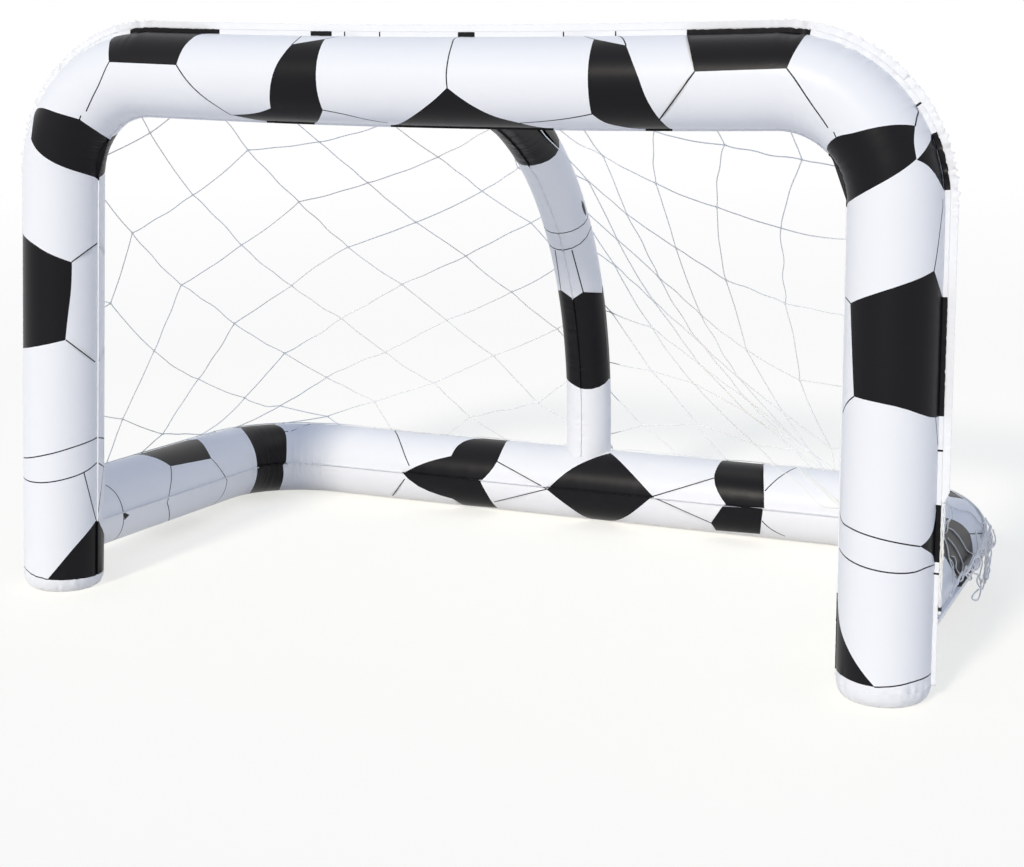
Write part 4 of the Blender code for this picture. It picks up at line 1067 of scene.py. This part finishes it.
def tape_band(start, end, seed):
    """Rings of one tape: a band whose ruffles are deep at the corners, and whose outer edge wanders."""
    count = round((end - start) / TAPE_STEP)
    s = np.linspace(start, end, count)
    bend = np.clip(arch_bends(s) * 1.3, 0, 1)
    ruffle = (0.0008 + 0.0040 * bend) * (ripple(s, 0.024, seed) + 0.4 * ripple(s, 0.011, seed + 1))
    outer = TAPE_INNER + TAPE_WIDTH + (0.0004 + 0.0022 * bend) * ripple(s, 0.016, seed + 2)
    slant = np.clip((s - TAPE_LOW) / TAPE_SLANT, 0, 1)
    slant = slant * np.clip((ARCH_TOTAL - TAPE_LOW - s) / TAPE_SLANT, 0, 1)
    inner = TAPE_INNER + 0 * s
    outer = inner + (outer - inner) * (0.35 + 0.65 * slant)
    return s, band(arch_line, ARCH_FACING, s, inner, outer, ruffle, TAPE_THICKNESS, 9)


for name, start, end, seed in (
        ("right", TAPE_LOW, TAPE_BEND - WELD_GAP / 2, 131),
        ("top", TAPE_BEND + WELD_GAP / 2, ARCH_TOTAL - TAPE_BEND - WELD_GAP / 2, 134),
        ("left", ARCH_TOTAL - TAPE_BEND + WELD_GAP / 2, ARCH_TOTAL - TAPE_LOW, 137)):
    s, rings = tape_band(start, end, seed)
    tape = lofted("tape_" + name, [rings], maps=[(s, 2 * TAPE_WIDTH)])
    goal_piece(tape, net_tape, "net_tape", "net_tape_" + name)


# Net. Loose polyester twine, knotted into an uneven diamond mesh. Its edge is caught behind the
# tapes, it hangs over the brace's back weld, and its hem lies on top of the floor tube. On the
# right most of its cords are pulled together into one bunch that is drawn over the floor tube.
CORD_RADIUS = 0.00135
CORD_STEP = 0.009
CORD_CLEAR = 0.0022
NET_REACH = TAPE_INNER + TAPE_WIDTH / 2
NET_BEHIND = 0.0019

tube_axes = []
for line, length, clear in ((arch_line, ARCH_TOTAL, POST_RADIUS), (base_line, BASE_TOTAL, BASE_RADIUS),
                            (brace_line, BRACE_TOTAL, BRACE_RADIUS + BRACE_MARGIN - 0.001)):
    axis = line(np.linspace(0, length, round(length / 0.004)))
    tube_axes.append((axis, np.gradient(axis, axis=0), clear + CORD_CLEAR))


def off_tubes(points):
    """Points pushed straight out of the three tubes where a cord would sink into one."""
    for axis, heading, clear in tube_axes:
        nearest = np.array([np.argmin(((axis - p) ** 2).sum(1)) for p in points])
        along_axis = heading[nearest] / np.linalg.norm(heading[nearest], axis=1, keepdims=True)
        off = points - axis[nearest]
        off = off - (off * along_axis).sum(1, keepdims=True) * along_axis
        apart = np.maximum(np.linalg.norm(off, axis=1, keepdims=True), 1e-9)
        points = points + off / apart * np.maximum(clear - apart, 0)
    return points


def tape_knot(s):
    """Where a cord is caught behind the tape, s metres along the arch."""
    centre, outward = along(arch_line, np.array(s), ARCH_FACING)
    return centre + NET_REACH * outward - NET_BEHIND * ARCH_FACING


def floor_knot(s, degrees):
    """A place on the floor tube, s metres along it and some degrees up from its outer weld."""
    centre, outward = along(base_line, np.array(s), BASE_FACING)
    turn = math.radians(degrees)
    away = math.cos(turn) * outward + math.sin(turn) * BASE_FACING
    return centre + (BASE_RADIUS + CORD_CLEAR) * away


def hung(knots, seed, slack=0.012):
    """A cord from knot to knot: each length sags as a parabola, leans aside and waves a little."""
    draw = np.random.default_rng(seed)
    parts, reach = [], []
    for start, end in zip(knots[:-1], knots[1:]):
        span = np.linalg.norm(end - start)
        if span > 0.03:
            stops = np.concatenate(([0.0, 0.0022, 0.0046],
                                    np.linspace(0.008, span - 0.008, max(3, round(span / CORD_STEP))),
                                    [span - 0.0046, span - 0.0022]))
        else:
            stops = np.linspace(0, span, 4)[:-1]
        t = (stops / span)[:, None]
        side = draw.normal(0, 0.012 * span, 3)
        side[2] -= slack * span * draw.uniform(0.4, 1.6)
        wave = draw.normal(0, 0.0035 * span, 3)
        parts.append(start + t * (end - start) + 4 * t * (1 - t) * side + np.sin(4 * math.pi * t) * wave)
        reach.append(np.minimum(stops, span - stops))
    points = np.concatenate(parts + [knots[-1][None]])
    reach = np.concatenate(reach + [[0.0]])
    return off_tubes(points), CORD_RADIUS * (1 + 0.85 * np.exp(-(reach / 0.0034) ** 2))


def laid(places, step=CORD_STEP, radius=CORD_RADIUS, free=True):
    """A cord along a smooth curve (Catmull-Rom) through its places."""
    places = np.array(places, float)
    padded = np.concatenate((2 * places[:1] - places[1:2], places, 2 * places[-1:] - places[-2:-1]))
    parts = []
    for a, b, c, d in zip(padded, padded[1:], padded[2:], padded[3:]):
        t = np.linspace(0, 1, max(3, round(np.linalg.norm(c - b) / step)), endpoint=False)[:, None]
        parts.append(b + 0.5 * t * (c - a) + t * t * (a - 2.5 * b + 2 * c - 0.5 * d)
                     + t ** 3 * (1.5 * (b - c) + 0.5 * (d - a)))
    points = np.concatenate(parts + [places[-1:]])
    return (off_tubes(points) if free else points), np.full(len(points), radius)


def twines(name, strands, sides=6):
    """Cords as one mesh: a ring at every point, carried along each strand without turning."""
    round_it = np.arange(sides) * 2 * math.pi / sides
    parts, maps = [], []
    for points, radii in strands:
        heading = np.gradient(points, axis=0)
        heading /= np.linalg.norm(heading, axis=1, keepdims=True)
        side = np.empty_like(points)
        carried = np.cross(heading[0], (0.31, 0.52, 0.79))
        for k, ahead in enumerate(heading):
            carried = carried - (carried @ ahead) * ahead
            carried /= np.linalg.norm(carried)
            side[k] = carried
        other = np.cross(heading, side)
        ring = np.cos(round_it)[:, None] * side[:, None] + np.sin(round_it)[:, None] * other[:, None]
        parts.append(stood(points[:, None] + radii[:, None, None] * ring))
        far = np.concatenate(([0.0], np.cumsum(np.linalg.norm(np.diff(points, axis=0), axis=1))))
        maps.append((far, 1.0))
    return lofted(name, parts, maps=maps)


def twine(name, colour, pitch, roughness=0.7):
    """Twisted thread: bands that wind round the cord once in a pitch, raised by a bump and darker in
    the grooves between them as painted shade, and a hue that drifts from cord to cord between warm
    grey, the thread's own colour and a cool blue-green."""
    material, tree, shader = new_material(name)
    sheet_map = tree.nodes.new("ShaderNodeUVMap")
    sheet_map.uv_map = "sheet"
    split = tree.nodes.new("ShaderNodeSeparateXYZ")
    along_cord = math_node(tree, "MULTIPLY", 2 * math.pi / pitch)
    round_cord = math_node(tree, "MULTIPLY_ADD", 4 * math.pi)
    wave = math_node(tree, "SINE")
    tone = tree.nodes.new("ShaderNodeMapRange")
    tone.inputs["From Min"].default_value = -1.0
    # Painted shade: the bands turn darker where the bump sinks, in the grooves of the twist.
    pale = mixer(tree, (0.92, 0.92, 0.92), (1.0, 1.0, 1.0))
    coords = tree.nodes.new("ShaderNodeTexCoord")
    drift = new_node(tree, "ShaderNodeTexNoise", Scale=3.7, Detail=1.0)
    hue = tree.nodes.new("ShaderNodeValToRGB")
    warm, cool = (0.97, 0.93, 0.88), (0.74, 0.86, 0.90)
    stops = hue.color_ramp.elements
    for element, position, tint in zip((stops[0], stops[1], stops.new(0.5)), (0.36, 0.64, 0.5),
                                       (warm, cool, (1, 1, 1))):
        element.position = position
        element.color = (*[a * b for a, b in zip(tint, colour)], 1.0)
    toned = mixer(tree)
    toned.blend_type = "MULTIPLY"
    toned.inputs["Factor"].default_value = 1.0
    link(tree, coords.outputs["Object"], drift.inputs["Vector"])
    link(tree, drift.outputs["Fac"], hue.inputs["Fac"])
    link(tree, hue.outputs["Color"], toned.inputs["A"])
    link(tree, pale.outputs["Result"], toned.inputs["B"])
    relief = new_node(tree, "ShaderNodeBump", Strength=0.3, Distance=0.0003)
    link(tree, sheet_map.outputs["UV"], split.inputs[0])
    link(tree, split.outputs["X"], along_cord.inputs[0])
    link(tree, split.outputs["Y"], round_cord.inputs[0])
    link(tree, along_cord.outputs[0], round_cord.inputs[2])
    link(tree, round_cord.outputs[0], wave.inputs[0])
    link(tree, wave.outputs[0], tone.inputs["Value"])
    link(tree, tone.outputs["Result"], pale.inputs["Factor"])
    link(tree, toned.outputs["Result"], shader.inputs["Base Color"])
    link(tree, tone.outputs["Result"], relief.inputs["Height"])
    link(tree, relief.outputs["Normal"], shader.inputs["Normal"])
    shader.inputs["Roughness"].default_value = roughness
    return material


# Knots seen through the mouth, upright: on the left by the two families of cords that cross there
# (falling to the right, falling to the left), on the right by flatter and steeper cords.
LEFT_KNOTS = {
    -2: {3: (-1.045, .333, .345), 4: (-1.02, .478, .285), 5: (-.995, .63, .262)},
    -1: {2: (-1.033, .269, .650), 3: (-1.014, .433, .512), 4: (-.992, .610, .417), 5: (-.967, .809, .340),
         6: (-.915, .915, .306), 7: (-.805, .993, .273)},
    0: {2: (-.994, .310, .826), 3: (-.973, .499, .680), 4: (-.922, .680, .564), 5: (-.847, .820, .472),
        6: (-.764, .910, .399), 7: (-.647, .973, .331)},
    1: {1: (-.883, .226, 1.078), 2: (-.869, .394, .922), 3: (-.825, .555, .788), 4: (-.753, .692, .675),
        5: (-.661, .800, .582), 6: (-.574, .893, .485), 7: (-.458, .961, .400), 8: (-.369, 1.007, .306)},
    2: {1: (-.710, .181, 1.181), 2: (-.688, .358, 1.040), 3: (-.638, .524, .908), 4: (-.573, .669, .787),
        5: (-.476, .791, .685), 6: (-.387, .883, .586), 7: (-.279, .956, .488), 8: (-.168, 1.009, .360)},
    3: {1: (-.577, .117, 1.245), 2: (-.514, .401, 1.063), 3: (-.457, .552, .961), 4: (-.387, .688, .858),
        5: (-.295, .800, .768), 6: (-.203, .893, .671), 7: (-.099, .964, .572)},
    4: {1: (-.400, .160, 1.250), 2: (-.327, .411, 1.115), 3: (-.268, .561, 1.030), 4: (-.204, .690, .944),
        5: (-.115, .803, .862)},
    5: {2: (-.160, .240, 1.215), 3: (-.089, .526, 1.120), 4: (-.101, .675, 1.006)},
}
RIGHT_KNOTS = {
    0: {0: (.150, .220, 1.215), 1: (.335, .200, 1.215), 2: (.500, .180, 1.210), 3: (.680, .170, 1.190),
        4: (.840, .100, 1.150)},
    1: {1: (.337, .418, 1.108), 2: (.515, .377, 1.081), 3: (.700, .337, 1.054), 4: (.860, .200, 1.040)},
    2: {0: (.148, .607, 1.043), 1: (.281, .612, .982), 2: (.440, .591, .932), 3: (.604, .556, .891),
        4: (.805, .380, .885), 5: (.950, .180, .880)},
    3: {-1: (.069, .721, .977), 0: (.161, .754, .897), 1: (.288, .765, .818), 2: (.417, .769, .745),
        3: (.574, .742, .699), 4: (.775, .600, .690), 5: (.900, .380, .690)},
    4: {-1: (.112, .829, .827), 0: (.217, .851, .736), 1: (.328, .869, .642), 2: (.444, .881, .562),
        3: (.583, .884, .495), 4: (.750, .780, .500), 5: (.870, .500, .500), 6: (.990, .250, .500)},
    5: {-2: (.088, .883, .757), -1: (.190, .897, .670), 0: (.306, .912, .575), 1: (.407, .929, .488),
        2: (.529, .952, .396), 3: (.647, .984, .311), 4: (.790, .880, .330)},
    6: {-3: (.058, .955, .625), -2: (.175, .937, .596), -1: (.301, .942, .511), 0: (.426, .954, .427),
        1: (.541, .981, .336)},
    7: {-3: (.162, .982, .476), -2: (.282, .969, .453), -1: (.425, .971, .388), 0: (.522, .982, .336)},
    8: {-4: (.133, 1.018, .323), -3: (.284, 1.004, .340), -2: (.447, 1.005, .298), -1: (.552, .999, .296)},
}
RIDGE = {1: (.245, 1.247), 2: (.535, 1.144), 4: (.720, 1.010), 5: (.799, .927), 6: (.945, .690),
         7: (.885, .810), 8: (1.012, .455), 9: (.965, .640), 10: (1.006, .494), 11: (1.026, .280)}
FAN = floor_knot(1.18, 79)


def row(knots, number):
    """The knots of one cord, from left to right or from top to bottom."""
    return [np.array(place) for _, place in sorted(knots[number].items())]


def column(knots, number):
    """The knots of a cord that crosses the rows."""
    return [np.array(line[number]) for _, line in sorted(knots.items()) if number in line]


def ridge(number):
    """Where a cord passes over the brace's back."""
    return [np.array((0.0, *RIDGE[number]))]


left_row, left_column = partial(row, LEFT_KNOTS), partial(column, LEFT_KNOTS)
right_row, right_column = partial(row, RIGHT_KNOTS), partial(column, RIGHT_KNOTS)
net_cords = [
    [tape_knot(3.728), floor_knot(3.60, 62)],
    [tape_knot(3.646), *left_row(-2), floor_knot(2.958, 72)],
    [tape_knot(3.30), *left_row(-1), floor_knot(2.60, 80)],
    [tape_knot(3.06), *left_row(0), floor_knot(2.438, 79)],
    [tape_knot(2.90), *left_row(1), floor_knot(2.087, 79)],
    [tape_knot(2.80), *left_row(2), *ridge(11), floor_knot(1.78, 80)],
    [tape_knot(2.66), *left_row(3), *ridge(8), *right_column(-4), floor_knot(1.593, 81)],
    [tape_knot(2.47), *left_row(4), *ridge(6), *right_column(-3), floor_knot(1.464, 81)],
    [tape_knot(2.27), *left_row(5), *ridge(5), *right_column(-2), floor_knot(1.335, 81)],
    [tape_knot(3.20), *left_column(1), tape_knot(2.36)],
    [tape_knot(3.60), *left_column(2), *ridge(1), *right_row(0), tape_knot(1.15)],
    [floor_knot(3.45, 65), *left_column(3), *ridge(2), *right_row(2), tape_knot(0.851)],
    [floor_knot(3.308, 71), *left_column(4), *ridge(4), *right_row(3), tape_knot(0.667)],
    [floor_knot(3.09, 71), *left_column(5), *ridge(5), *right_row(4), tape_knot(0.473)],
    [floor_knot(2.88, 77), *left_column(6), *ridge(7), *right_row(5), floor_knot(0.97, 95)],
    [floor_knot(2.75, 77), *left_column(7), *ridge(9), *right_row(6), FAN],
    [floor_knot(2.264, 79), *left_column(8), *ridge(10), *right_row(7), FAN],
    [floor_knot(1.93, 80), *ridge(11), *right_row(8), floor_knot(1.20, 95)],
    [tape_knot(1.90), *right_row(1), tape_knot(0.997)],
    [tape_knot(2.0), *right_column(-1), floor_knot(1.24, 82)],
    [tape_knot(1.90), *right_column(0), FAN],
    [tape_knot(1.74), *right_column(1), FAN],
    [tape_knot(1.62), *right_column(2), floor_knot(1.21, 80)],
    [tape_knot(1.49), *right_column(3), FAN],
    [tape_knot(1.27), *right_column(4), floor_knot(0.98, 95)],
    [tape_knot(1.07), *right_column(5), floor_knot(0.66, 80)],
    [tape_knot(0.76), *right_column(6), floor_knot(0.50, 70)],
    [tape_knot(0.385), floor_knot(0.40, 64)],
]
SLACK_CORDS = {1: 0.03, 2: 0.05}
HEM = ((3.60, 62), (3.45, 65), (3.308, 71), (3.09, 71), (2.958, 72), (2.88, 77), (2.75, 77),
       (2.60, 80), (2.489, 79), (2.438, 79), (2.408, 85), (2.353, 90), (2.278, 85), (2.264, 79),
       (2.222, 85), (2.087, 79), (1.93, 80), (1.78, 80), (1.593, 81), (1.464, 81), (1.335, 81),
       (1.24, 80), (1.18, 79))
DRAPED = (((0.473, 64), (0.478, 58), (0.472, 48), (0.464, 37), (0.464, 27), (0.494, 18), (0.531, 12)),
          ((0.400, 56), (0.394, 48), (0.389, 40), (0.383, 30), (0.382, 20), (0.367, 13), (0.325, 12)),
          ((0.320, 38), (0.337, 34), (0.327, 28), (0.307, 23), (0.320, 15), (0.340, 10)),
          ((0.40, 64), (0.345, 50), (0.295, 39), (0.278, 29), (0.278, 20), (0.284, 15)),
          ((0.295, 39), (0.294, 29), (0.241, 16), (0.265, 8), (0.283, 14)),
          ((0.684, 89), (0.658, 76), (0.666, 66), (0.690, 58), (0.697, 48), (0.695, 40), (0.705, 29),
           (0.724, 18)),
          ((0.66, 80), (0.60, 70), (0.50, 70), (0.44, 66), (0.40, 64)))
strands = [hung(knots, 200 + number, SLACK_CORDS.get(number, 0.012))
           for number, knots in enumerate(net_cords)]
strands.append(hung([floor_knot(*place) for place in HEM], 240, 0.0))
strands += [laid([floor_knot(*place) for place in places]) for places in DRAPED]
draw = np.random.default_rng(260)
for number in range(8):
    away, over = draw.normal(0, 0.012), draw.normal(0, 6)
    strands.append(laid([floor_knot(1.18 + 0.4 * away, 79 + 0.4 * over), floor_knot(1.06, 96 + over),
                         floor_knot(0.97, 96 + over), floor_knot(0.90 + away, 80 + over),
                         floor_knot(0.845 + away, 57 + over), floor_knot(0.79 + away, 38 + 0.6 * over),
                         floor_knot(0.75 + away, 25 + 0.4 * over), floor_knot(0.70 + 2 * away, 18)]))
for number in range(4):
    away, over = draw.normal(0, 0.016), draw.normal(0, 5)
    strands.append(laid([floor_knot(1.30 + 2 * away, 79), floor_knot(1.24 + away, 117 + over),
                         floor_knot(1.195 + away, 138 + over), floor_knot(1.14 + away, 160 + over),
                         floor_knot(1.07, 150 + over), floor_knot(0.99, 122 + over),
                         floor_knot(0.92, 104 + over)]))
net_cord = twine("net_cord", (0.94, 0.95, 0.94), 0.006)
net = twines("net_cords", strands)
goal_piece(net, net_cord, "net_cord", "net")


# Gathers. What is left of the net is bunched outside each leg: a tangle of loose loops and a few
# cut ends, knotted at the top to the cords that come over the leg.
GATHER_BACK = 0.012
GATHER_OUT = LEG_X + BASE_RADIUS + 0.0107
GATHER_LOOPS = (
    ((.587, .252), (.649, .228), (.714, .204), (.681, .202), (.663, .202)),
    ((.454, .249), (.472, .227), (.493, .193), (.433, .194), (.396, .187), (.369, .18), (.384, .165)),
    ((.716, .198), (.773, .166), (.779, .148), (.733, .151), (.694, .164), (.663, .202)),
    ((.663, .202), (.658, .174), (.608, .162), (.572, .176), (.494, .19)),
    ((.530, .180), (.634, .151), (.644, .122), (.642, .093), (.599, .084), (.539, .104), (.501, .126),
     (.530, .132), (.472, .150), (.392, .179)),
    ((.528, .135), (.582, .103), (.572, .083), (.528, .077), (.472, .089), (.448, .101), (.500, .099),
     (.553, .094)),
    ((.643, .205), (.708, .179), (.737, .161), (.694, .157), (.643, .164), (.597, .182)),
    ((.477, .195), (.528, .168), (.522, .153), (.470, .157), (.411, .181), (.448, .192)),
    ((.328, .197), (.301, .192), (.357, .169), (.412, .148), (.432, .150), (.375, .171), (.292, .191)),
    ((.180, .190), (.131, .188), (.156, .174)),
    ((.535, .250), (.598, .240), (.673, .213), (.677, .203), (.631, .207)),
)
GATHER_RADIUS = 0.0018


def gathered(side, seed, highest):
    """Cords of one bunch: the loops that the photograph shows, hanks along the leg's outer weld, and
    teardrops of random size and place."""
    draw = np.random.default_rng(seed)
    found = []
    for loop in GATHER_LOOPS:
        lean = draw.uniform(0, 2 * math.pi)
        far = [GATHER_OUT + 0.0018 * math.sin(lean + 1.1 * k) for k in range(len(loop))]
        found.append(laid([(side * x, y + GATHER_BACK, min(z, highest)) for x, (y, z) in zip(far, loop)],
                          0.006, GATHER_RADIUS, free=False))
    for number in range(5):
        y = np.linspace(draw.uniform(0.645, 0.675), draw.uniform(0.08, 0.33), 14)
        z = 0.191 + draw.normal(0, 0.005, 14) + np.clip((y - 0.56) / 0.1, 0, 1) * 0.022
        depth = GATHER_OUT + 0.002 + 0.0025 * np.sin(9 * y + 1.3 * number)
        found.append(laid(np.stack((side * depth, y + GATHER_BACK, z), -1), 0.008, GATHER_RADIUS, free=False))
    t = np.linspace(0, 1, 30)
    for number in range(6):
        y, z = draw.uniform(0.585, 0.70), draw.uniform(0.175, 0.215)
        wide, high, lean = draw.uniform(0.02, 0.05), draw.uniform(0.03, 0.11), draw.uniform(0, 2 * math.pi)
        depth = GATHER_OUT + 0.002 + 0.003 * np.sin(lean + 5 * t)
        swing = draw.normal(0, 0.004, (30, 1)) * 0.3
        found.append(laid(np.stack((side * depth, y + wide * np.sin(2 * math.pi * t) * np.sin(math.pi * t),
                                    z - high * np.sin(math.pi * t) ** 2), -1) + swing, 0.006, GATHER_RADIUS,
                          free=False))
    knot = np.stack((side * (GATHER_OUT + 0.002 + 0 * t), 0.675 + 0.012 * np.sin(9 * t),
                     0.208 + 0.008 * np.cos(13 * t)), -1)
    return found + [laid(knot, 0.004, GATHER_RADIUS, free=False)]


# Painted light: the gathers hang in shade, and their cords get a whiter copy of the cord material that makes
# them paler there.
painted_light_cord = twine("painted_light_cord", (1.0, 1.0, 1.0), 0.008)
for name, side, seed, highest in (("right", 1, 281, 0.26), ("left", -1, 282, 0.21)):
    goal_piece(twines("gather_" + name, gathered(side, seed, highest)), painted_light_cord, "net_cord",
               "net_gather_" + name)


# Tails. Below the tape the net's edge cords run on as a loosely twisted bundle beside the post,
# and a black thread wound five times round them binds their end.
TAIL_CORDS = 6
TAIL_TOP = TAPE_LOW - WELD_GAP
TIE_LOW = 0.153
TIE_LENGTH = 0.009
TAIL_OUT = POST_RADIUS + ARCH_OUTER_MARGIN + 0.0035
TAIL_FRAY = 0.006
TIE_RADIUS = 0.0028
TIE_TURNS = 5
THREAD_RADIUS = 0.0009
black_tie = twine("black_tie", (0.02, 0.019, 0.022), 0.0012, 0.55)
for name, mirror in (("right", False), ("left", True)):
    cords = []
    s = np.concatenate((np.linspace(TAIL_TOP, TIE_LOW + TIE_LENGTH, 54)[:-1],
                        np.linspace(TIE_LOW + TIE_LENGTH, TIE_LOW - TAIL_FRAY, 9)))
    centre, outward = along(arch_line, ARCH_TOTAL - s if mirror else s, ARCH_FACING)
    above = np.clip((s - TIE_LOW - TIE_LENGTH) / (TAIL_TOP - TIE_LOW - TIE_LENGTH), 0, 1)
    below = np.clip((TIE_LOW - s) / TAIL_FRAY, 0, 1)
    middle = TAIL_OUT + 0.0010 * above
    spread = 0.0011 + 0.0012 * np.minimum(1, above / 0.1) ** 0.7 + 0.0004 * above + 0.0009 * below
    for number in range(TAIL_CORDS):
        turn = 2 * math.pi * number / TAIL_CORDS + s / 0.011 + 0.5 * np.sin(s / 0.021 + 2.4 * number)
        bulk = spread * (1 + 0.2 * np.sin(s / 0.013 + 1.7 * number))
        offset = (middle + bulk * np.cos(turn))[:, None] * outward \
            + (bulk * np.sin(turn))[:, None] * ARCH_FACING
        cords.append((centre + offset, 0.00105 + 0.0005 * np.minimum(1, above / 0.1)))
    goal_piece(twines("tail_" + name, cords), net_cord, "net_cord", "net_tail_" + name)
    turn = np.linspace(0, TIE_TURNS * 2 * math.pi, 120)
    s = TIE_LOW + THREAD_RADIUS + (TIE_LENGTH - 2 * THREAD_RADIUS) * turn / turn[-1]
    centre, outward = along(arch_line, ARCH_TOTAL - s if mirror else s, ARCH_FACING)
    wound = centre + (TAIL_OUT + TIE_RADIUS * np.cos(turn))[:, None] * outward \
        + (TIE_RADIUS * np.sin(turn))[:, None] * ARCH_FACING
    tie = twines("tie_" + name, [(wound, THREAD_RADIUS + 0 * turn)])
    goal_piece(tie, black_tie, "black_tie", "tail_tie_" + name)


# Air valves, one on each tube: a flanged seat welded inside the sheet, a soft stem that is pushed
# in flush with it, a flap that stops the air inside, and a plug that hangs on a strap.
VALVE_PLACES = {
    "arch": ((0.977566, -0.353434, 0.611633), (0.0, 0.997374, -0.072428), (0.99983, 0.001333, 0.018391)),
    "base": ((0.450005, 0.567252, 0.12392), (0.0, 0.937331, 0.348441), (0.0, -0.348441, 0.937331)),
    "brace": BRACE_VALVE,
}
SEAT_PROFILE = ((0.0046, -0.0014), (0.0092, -0.0014), (0.0092, -0.0006), (0.0060, -0.0006), (0.0060, 0.0003),
                (0.0085, 0.0003), (0.0085, 0.0011), (0.0046, 0.0011))
STEM_PROFILE = ((0.0026, -0.0130), (0.0053, -0.0130), (0.0053, -0.0117), (0.0043, -0.0117), (0.0043, 0.0014),
                (0.0064, 0.0014), (0.0064, 0.0026), (0.0026, 0.0026))
FLAP_PROFILE = ((0.0, -0.0137), (0.0043, -0.0137), (0.0043, -0.0133), (0.0, -0.0133))
PLUG_PROFILE = ((0.0, -0.0031), (0.0023, -0.0031), (0.0023, 0.0029), (0.0048, 0.0029), (0.0048, 0.0043),
                (0.0, 0.0043))
STRAP_PATH = ((0.0058, 0.0020), (0.0080, 0.0019), (0.0106, 0.0020), (0.0123, 0.0024), (0.0126, 0.0029),
              (0.0120, 0.0034), (0.0100, 0.0037), (0.0075, 0.0037), (0.0044, 0.0036))
STRAP_ENDS = ((0.0085, 0.0019), (0.0085, 0.0037))
STRAP_SIDES = 12
STRAP_HALF_WIDTH = 0.0011
STRAP_HALF_HEIGHT = 0.0003
VALVE_SPOKES = 40


def eased(profile, size):
    """A profile with each corner that is off the axis cut into a short round."""
    found = []
    for before, here, after in zip(profile[-1:] + profile[:-1], profile, profile[1:] + profile[:1]):
        here = np.array(here)
        if here[0] == 0.0:
            found.append(here)
            continue
        back, ahead = np.array(before) - here, np.array(after) - here
        start = here + back * min(size / np.linalg.norm(back), 0.45)
        end = here + ahead * min(size / np.linalg.norm(ahead), 0.45)
        for t in (0.0, 0.33, 0.67, 1.0):
            found.append((1 - t) ** 2 * start + 2 * t * (1 - t) * here + t * t * end)
    return np.array(found)


def turned(name, profile, place, size=0.0003):
    """A turned body: its profile carried once round the valve's axis, closed both ways."""
    origin, axis, second = (np.array(part) for part in place)
    first = np.cross(second, axis)
    outline = eased(profile, size)
    angle = np.arange(VALVE_SPOKES) * 2 * math.pi / VALVE_SPOKES
    spokes = np.cos(angle)[:, None] * first + np.sin(angle)[:, None] * second
    points = origin + outline[:, 0][:, None, None] * spokes + outline[:, 1][:, None, None] * axis
    count = len(outline)
    k, a = (g.ravel() for g in np.meshgrid(np.arange(count), np.arange(VALVE_SPOKES), indexing="ij"))
    k_next, a_next = (k + 1) % count, (a + 1) % VALVE_SPOKES
    on_axis = outline[:, 0] == 0.0
    number = np.where(on_axis[:, None], np.arange(count)[:, None] * VALVE_SPOKES,
                      np.arange(count * VALVE_SPOKES).reshape(count, -1))
    quads = np.stack((number[k, a], number[k, a_next], number[k_next, a_next], number[k_next, a]), -1)
    quads = quads[~(on_axis[k] & on_axis[k_next])]
    faces = [list(dict.fromkeys(face)) for face in quads.tolist()]
    used, packed = np.unique(np.concatenate([np.array(face) for face in faces]), return_inverse=True)
    stops = np.cumsum([len(face) for face in faces])[:-1]
    mesh = bpy.data.meshes.new(name)
    mesh.from_pydata(points.reshape(-1, 3)[used].tolist(), [],
                     [part.tolist() for part in np.split(packed, stops)])
    area = outline[:, 0] * (np.roll(outline[:, 1], -1) - np.roll(outline[:, 1], 1))
    if area.sum() < 0:
        mesh.flip_normals()
    mesh.polygons.foreach_set("use_smooth", np.ones(len(mesh.polygons), bool))
    mesh.update()
    mesh.set_sharp_from_angle(angle=math.radians(35))
    piece = bpy.data.objects.new(name, mesh)
    bpy.context.scene.collection.objects.link(piece)
    return piece


valve_vinyl, tree, shader = new_material("valve_vinyl")
coords = tree.nodes.new("ShaderNodeTexCoord")
cloud = new_node(tree, "ShaderNodeTexNoise", Scale=300.0, Detail=2.0)
milk = mixer(tree, (0.74, 0.77, 0.79), (0.83, 0.85, 0.86))
link(tree, coords.outputs["Object"], cloud.inputs["Vector"])
link(tree, cloud.outputs["Fac"], milk.inputs["Factor"])
link(tree, milk.outputs["Result"], shader.inputs["Base Color"])
shader.inputs["Roughness"].default_value = 0.24
shader.inputs["Subsurface Weight"].default_value = 0.15
shader.inputs["Subsurface Scale"].default_value = 0.002

for tube, place in VALVE_PLACES.items():
    name = tube + "_valve_"
    for part, profile, body in (("seat", SEAT_PROFILE, "goal"), ("stem", STEM_PROFILE, name + "stem"),
                                ("flap", FLAP_PROFILE, name + "flap"), ("plug", PLUG_PROFILE, name + "plug")):
        piece = turned(f"{name}{part}_soft", profile, place, 0.0001 if part == "flap" else 0.0003)
        goal_piece(piece, valve_vinyl, "valve_vinyl", name + part, body=body)
    origin, axis, second = (np.array(part) for part in place)
    first = np.cross(second, axis)
    path, _ = laid([(x, 0.0, z) for x, z in STRAP_PATH], 0.0008, free=False)
    heading = np.gradient(path, axis=0)
    heading /= np.linalg.norm(heading, axis=1, keepdims=True)
    up = np.cross(heading, (0.0, 1.0, 0.0))
    turn = np.arange(STRAP_SIDES) * 2 * math.pi / STRAP_SIDES
    wide = STRAP_HALF_WIDTH * np.sign(np.cos(turn)) * np.abs(np.cos(turn)) ** 0.5
    high = STRAP_HALF_HEIGHT * np.sign(np.sin(turn)) * np.abs(np.sin(turn)) ** 0.5
    rings = path[:, None] + high[:, None] * up[:, None] + wide[:, None] * np.array((0.0, 1.0, 0.0))
    rings = origin + rings[..., :1] * first + rings[..., 1:2] * second + rings[..., 2:] * axis
    strap = lofted(name + "strap_soft", [rings])
    strap.data.materials.append(valve_vinyl)
    start, end = (origin + x * first + z * axis for x, z in STRAP_ENDS)
    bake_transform(strap)
    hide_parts(name + "strap")


low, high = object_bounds()
